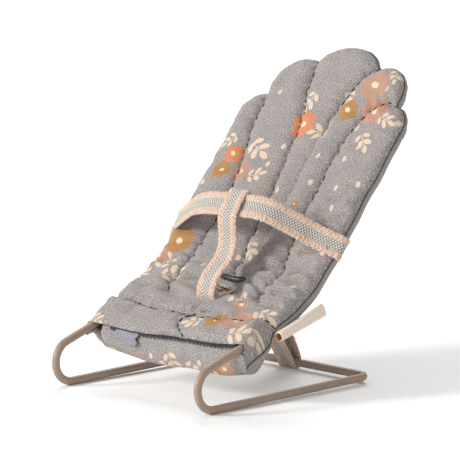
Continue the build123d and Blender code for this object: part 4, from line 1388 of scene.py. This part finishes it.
def build_straps(sizes):
    """Waist belt, crotch strap with its frayed end, and rear strap."""
    cotton = bpy.data.materials["cotton_webbing"]
    width = sizes.webbing_width / MM
    thick = sizes.webbing_thickness / MM * 1.5
    centres, across = belt_line()
    belt = ribbon("waist_belt_webbing", centres, across, width, thick, cotton)
    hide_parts("waist_belt", "belt_bartack_left", "belt_bartack_right")
    low_y, low_z = side_point(BELT_RUN, 0.5)
    high_y, high_z = side_point(BELT_RUN, 10.0)
    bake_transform(belt, "seat", "belt", start=(0, float(low_y) * MM, float(low_z) * MM),
             end=(0, float(high_y) * MM, float(high_z) * MM))
    centres = crotch_line()
    across = np.tile(np.array([[1.0, 0.0, 0.0]]), (len(centres), 1))
    crotch = ribbon("crotch_strap_webbing", centres, across, width, thick, cotton)
    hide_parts("crotch_strap", "crotch_bartack")
    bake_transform(crotch, "seat", "belt", start=(0.004, 0.008, 0.047), end=(0.004, 0.006, 0.069))
    fray = []
    for run, lift in ((47.2, 1.3), (48.3, 1.9), (49.2, 1.2)):
        xs = np.linspace(-0.6, 8.6, 24)
        points, up = surface_frames(xs, np.full(24, run), lift)
        fray.append((points, up + np.array([[0.0, 0.5, 0.0]])))
    yarn = bpy.data.materials["loose_yarn"]
    loose = stitches("frayed_yarns", fray, yarn, 0.34, 3.4, 0.34, 1.45, 0.55, 21)
    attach(loose, "seat")
    centres = rear_line()
    across = np.tile(np.array([[1.0, 0.0, 0.0]]), (len(centres), 1))
    rear = ribbon("rear_strap_webbing", centres, across, width, thick * 0.8, cotton)
    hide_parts("rear_strap", "rear_bartack")
    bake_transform(rear, "base", "seat", start=(-0.004, 0.044, 0.006), end=(-0.004, 0.016, 0.034))


def build_label():
    """Blank woven tape rolled into a tube, open at its front end and flatter towards its rear end."""
    start = np.array([46.7, -9.9, 27.1])
    end = np.array([46.8, 14.6, 34.6])
    ahead = (end - start) / np.linalg.norm(end - start)
    out = np.array([1.0, 0.0, 0.0])
    up = np.cross(out, ahead)
    length = float(np.linalg.norm(end - start))
    around = 40
    rings, uv = [], []
    steps = [(0.0, 0.94), (0.4, 1.0)] + [(t, 1.0) for t in np.arange(1.2, length - 2.2, 0.7)]
    steps += [(length - 1.0, 1.0), (length - 0.25, 1.0), (length, 0.94)]
    inner = [(0.0, 0.80), (0.6, 0.76), (3.0, 0.72), (8.0, 0.66), (12.0, 0.2)]
    order = inner[::-1] + steps
    for t, scale in order:
        for k in range(around):
            a = 2 * math.pi * k / around
            uneven = noise.noise(Vector((math.cos(a), math.sin(a), t * 0.2)))
            r = scale * (1 + 0.05 * math.sin(2 * a + t * 0.12) + 0.03 * uneven)
            px = (1.95 - 0.75 * t / length) * r * math.copysign(abs(math.cos(a)) ** 0.8, math.cos(a))
            pz = (2.05 + 0.6 * t / length) * r * math.copysign(abs(math.sin(a)) ** 0.8, math.sin(a))
            rings.append(start + ahead * t + out * px + up * pz)
            uv.append((2.1 * a, t))
    faces = []
    for i in range(len(order) - 1):
        for k in range(around):
            m = (k + 1) % around
            faces.append((i * around + k, i * around + m, (i + 1) * around + m, (i + 1) * around + k))
    last = (len(order) - 1) * around
    faces.append(tuple(range(around))[::-1])
    faces.append(tuple(last + k for k in range(around)))
    tape = bpy.data.materials["label_tape"]
    label = make_object("label_tube", np.array(rings) * MM, faces, tape, np.array(uv) / 100)
    # The tube's inner faces get an amber colour, darker and warmer than the cream tape: painted shade inside
    # the tube.
    label.data.materials.append(bpy.data.materials["label_inside_shade"])
    inside = (len(inner) - 1) * around
    for k, face in enumerate(label.data.polygons):
        face.material_index = 1 if k < inside else 0
    outward(label)
    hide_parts("label_tab")
    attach(label, "seat")
    return label


# Printed motifs on the rear cloth and on the closing flap
BACK_FLOWERS = (("ochre", (-18, 60), 5.5, 0.2), ("pink", (22, 78), 6.0, 0.5),
                ("orange", (-8, 104), 5.5, 0.1), ("pink", (-28, 128), 5.0, 0.6),
                ("ochre", (18, 132), 5.5, 0.9), ("orange", (30, 50), 4.5, 0.4))
BACK_SPRIGS = (((-24, 68), 2.2, 10), ((14, 70), 0.6, 10), ((-2, 114), 1.2, 10), ((-20, 134), 0.3, 9),
               ((26, 122), 1.8, 10), ((20, 44), 2.6, 9), ((-34, 92), 1.4, 9), ((4, 152), 0.4, 9))
BACK_DOTS = ((0, 60), (-30, 50), (8, 90), (34, 96), (-36, 112), (12, 114), (-10, 150), (-12, 84), (30, 68))
FLAP_FLOWERS = (("pink", (-18, -7), 4.2, 0.2), ("ochre", (25, -6.5), 4.5, 0.5),
                ("pink", (31.5, -4), 4.0, 0.1))
FLAP_SPRIGS = (((2, -4.5), 1.2, 9), ((-4, -8), 2.4, 8), ((12, -7), 0.4, 9), ((-30, -6), 1.0, 7),
               ((20, -11), 0.2, 8))
FLAP_DOTS = ((-9, -3), (7, -10), (17, -3), (-24, -11), (36, -9))


def build_materials():
    """All the materials, from the shared node groups."""
    build_groups()
    colours = cloth_colours()
    printed_cloth("printed_linen", colours)
    webbing_material(colours)
    wire_material(tuple(bpy.context.scene.bouncer_colours.wire))
    yarn_material("dark_thread", srgb(20, 20, 29), srgb(60, 61, 73), 4.0)
    yarn_material("loop_fuzz", srgb(104, 103, 112), srgb(158, 156, 168), 4.0)
    yarn_material("loose_yarn", srgb(150, 112, 88), srgb(214, 182, 156), 3.0)
    # Amber for the inside of the label tube: painted shade inside the cream tape.
    yarn_material("label_inside_shade", srgb(150, 96, 44), srgb(190, 136, 80), 3.0)
    tape_material(colours)


def add_light(name, where, size, power, aim=None):
    """Square lamp at a place in metres, turned to its aim or left pointing down."""
    light = bpy.data.lights.new(name, "AREA")
    light.size = size
    light.energy = power
    lamp = bpy.data.objects.new(name, light)
    lamp.location = where
    if aim is not None:
        lamp.rotation_euler = (Vector(aim) - Vector(where)).to_track_quat("-Z", "Y").to_euler()
    bpy.context.scene.collection.objects.link(lamp)


def build_floor():
    """Pale round floor, and the same light from all round."""
    paint, n, shader = new_material("floor_paint", 0.6)
    cloud = n.ramp(n.noise(object_place(n), 0.004, 2.0, 0.5), 0.3, 0.7, 0.0, 0.3)
    n.put(n.mix(cloud, (0.99, 0.99, 0.985, 1), (0.97, 0.97, 0.965, 1)), shader["Base Color"])
    turns = [2 * math.pi * k / 64 for k in range(64)]
    points = [(FLOOR_R * math.cos(t), FLOOR_R * math.sin(t), 0.0) for t in turns]
    make_object("floor", points, [tuple(range(64))], paint, smooth=False)
    world = bpy.data.worlds.new("studio")
    bpy.context.scene.world = world
    world.use_nodes = True
    sky = world.node_tree.nodes["Background"].inputs
    sky[0].default_value = (1.0, 0.995, 0.985, 1)
    sky[1].default_value = 0.56


def build_stage():
    """Floor, lights and camera."""
    build_floor()
    seat = (0, 0, 0.06)
    add_light("key", (-1.6, -2.9, 1.55), 0.8, 110.0, seat)
    add_light("fill", (3.0, -1.2, 1.4), 1.6, 11.0, seat)
    add_light("top", (0.2, 1.2, 3.4), 2.4, 3.0, seat)
    add_light("backdrop", (-1.5, 1.5, 1.5), 1.6, 30.0)
    bpy.context.scene.view_settings.view_transform = "Standard"
    lens = bpy.data.cameras.new("camera")
    lens.sensor_width = 36
    lens.lens = 396.3
    lens.shift_x = -0.012
    lens.shift_y = 0.0307
    lens.clip_start = 0.1
    lens.clip_end = 30
    camera = bpy.data.objects.new("camera", lens)
    bpy.context.scene.collection.objects.link(camera)
    a = math.radians(CAMERA_AZIMUTH)
    e = math.radians(CAMERA_ELEVATION)
    away = Vector((math.sin(a) * math.cos(e), -math.cos(a) * math.cos(e), math.sin(e)))
    camera.location = Vector(CAMERA_AIM) * MM + away * CAMERA_AWAY
    camera.rotation_euler = away.to_track_quat("Z", "Y").to_euler()
    bpy.context.scene.camera = camera


# ---------------------------------------------------------------- settings, operators and panel

def length_property(name, description, value, low, high):
    """A length setting in metres, with its default and limits."""
    return bpy.props.FloatProperty(name=name, description=description, default=value, min=low, max=high,
                                   unit="LENGTH")


class BouncerSizes(bpy.types.PropertyGroup):
    """Sizes that a user may change."""
    wire_thickness: length_property("Wire thickness", "Diameter of the coated wire", 0.0032, 0.001, 0.006)
    quilting_depth: bpy.props.FloatProperty(name="Quilting depth", description="How deep the sewn lines pull",
                                            default=1.0, min=0.0, max=2.0, subtype="FACTOR")
    stitch_pitch: length_property("Stitch pitch", "One quilting stitch and its gap", 0.0032, 0.001, 0.01)
    webbing_width: length_property("Webbing width", "Width of the straps", 0.010, 0.004, 0.02)
    webbing_thickness: length_property("Webbing thickness", "Thickness of the straps", 0.0009, 0.0004, 0.003)


def colour_property(name, description, value):
    """A colour setting with its default."""
    return bpy.props.FloatVectorProperty(name=name, description=description, default=value, size=4,
                                         min=0.0, max=1.0, subtype="COLOR")


class BouncerColours(bpy.types.PropertyGroup):
    """Colours that a user may change."""
    cloth: colour_property("Cloth", "Heathered ground of the printed cloth", srgb(160, 153, 149))
    orange: colour_property("Orange", "Orange flowers", srgb(226, 134, 80))
    ochre: colour_property("Ochre", "Ochre flowers", srgb(184, 128, 48))
    pink: colour_property("Dusty pink", "Dusty pink flowers", srgb(198, 146, 118))
    peach: colour_property("Peach", "Leaves and dots", srgb(228, 203, 178))
    wire: colour_property("Wire", "Powder coat of the frame", srgb(158, 135, 118))


class BOUNCER_OT_materials(bpy.types.Operator):
    """Makes the cloth, webbing, thread and paint materials"""
    bl_idname = "bouncer.materials"
    bl_label = "Make materials"

    def execute(self, context):
        build_materials()
        return {"FINISHED"}


class BOUNCER_OT_wire(bpy.types.Operator):
    """Bends the wire frame from one closed rod"""
    bl_idname = "bouncer.wire"
    bl_label = "Wire frame"

    def execute(self, context):
        build_wire(context.scene.bouncer_sizes)
        return {"FINISHED"}


class BOUNCER_OT_cover(bpy.types.Operator):
    """Makes the padded, quilted front of the cover"""
    bl_idname = "bouncer.cover"
    bl_label = "Quilted cover"

    def execute(self, context):
        build_cover(context.scene.bouncer_sizes)
        return {"FINISHED"}


class BOUNCER_OT_back(bpy.types.Operator):
    """Makes the cover's rear cloth"""
    bl_idname = "bouncer.back"
    bl_label = "Rear cloth"

    def execute(self, context):
        build_back()
        return {"FINISHED"}


class BOUNCER_OT_closure(bpy.types.Operator):
    """Makes the closing flap and its fastening tape"""
    bl_idname = "bouncer.closure"
    bl_label = "Front closure"

    def execute(self, context):
        build_closure()
        return {"FINISHED"}


class BOUNCER_OT_stitching(bpy.types.Operator):
    """Sews the quilting, the edge seam and the overlocked edges"""
    bl_idname = "bouncer.stitching"
    bl_label = "Stitching"

    def execute(self, context):
        build_stitching(context.scene.bouncer_sizes)
        return {"FINISHED"}


class BOUNCER_OT_straps(bpy.types.Operator):
    """Makes the waist belt, the crotch strap and the rear strap"""
    bl_idname = "bouncer.straps"
    bl_label = "Straps"

    def execute(self, context):
        build_straps(context.scene.bouncer_sizes)
        return {"FINISHED"}


class BOUNCER_OT_label(bpy.types.Operator):
    """Makes the rolled label tape"""
    bl_idname = "bouncer.label"
    bl_label = "Label tape"

    def execute(self, context):
        build_label()
        return {"FINISHED"}


class BOUNCER_OT_stage(bpy.types.Operator):
    """Makes the floor, the lights and the camera"""
    bl_idname = "bouncer.stage"
    bl_label = "Stage"

    def execute(self, context):
        build_stage()
        return {"FINISHED"}


OPERATORS = (BOUNCER_OT_materials, BOUNCER_OT_wire, BOUNCER_OT_cover, BOUNCER_OT_back, BOUNCER_OT_closure,
             BOUNCER_OT_stitching, BOUNCER_OT_straps, BOUNCER_OT_label, BOUNCER_OT_stage)


class BOUNCER_PT_panel(bpy.types.Panel):
    """Sidebar panel with the sizes, the colours and the operators"""
    bl_idname = "BOUNCER_PT_panel"
    bl_label = "Bouncer seat"
    bl_space_type = "VIEW_3D"
    bl_region_type = "UI"
    bl_category = "Bouncer"

    def draw(self, context):
        column = self.layout.column()
        for settings in (context.scene.bouncer_sizes, context.scene.bouncer_colours):
            for key in settings.__annotations__:
                column.prop(settings, key)
        for operator in OPERATORS:
            column.operator(operator.bl_idname)


CLASSES = (BouncerSizes, BouncerColours) + OPERATORS + (BOUNCER_PT_panel,)


def register():
    """Adds the settings, the operators and the panel."""
    for item in CLASSES:
        bpy.utils.register_class(item)
    bpy.types.Scene.bouncer_sizes = bpy.props.PointerProperty(type=BouncerSizes)
    bpy.types.Scene.bouncer_colours = bpy.props.PointerProperty(type=BouncerColours)


def unregister():
    """Takes away what register added."""
    del bpy.types.Scene.bouncer_colours
    del bpy.types.Scene.bouncer_sizes
    for item in reversed(CLASSES):
        bpy.utils.unregister_class(item)


def main():
    """Builds every piece through its operator."""
    register()
    for operator in OPERATORS:
        group, name = operator.bl_idname.split(".")
        getattr(getattr(bpy.ops, group), name)()


if __name__ == "__main__":
    main()
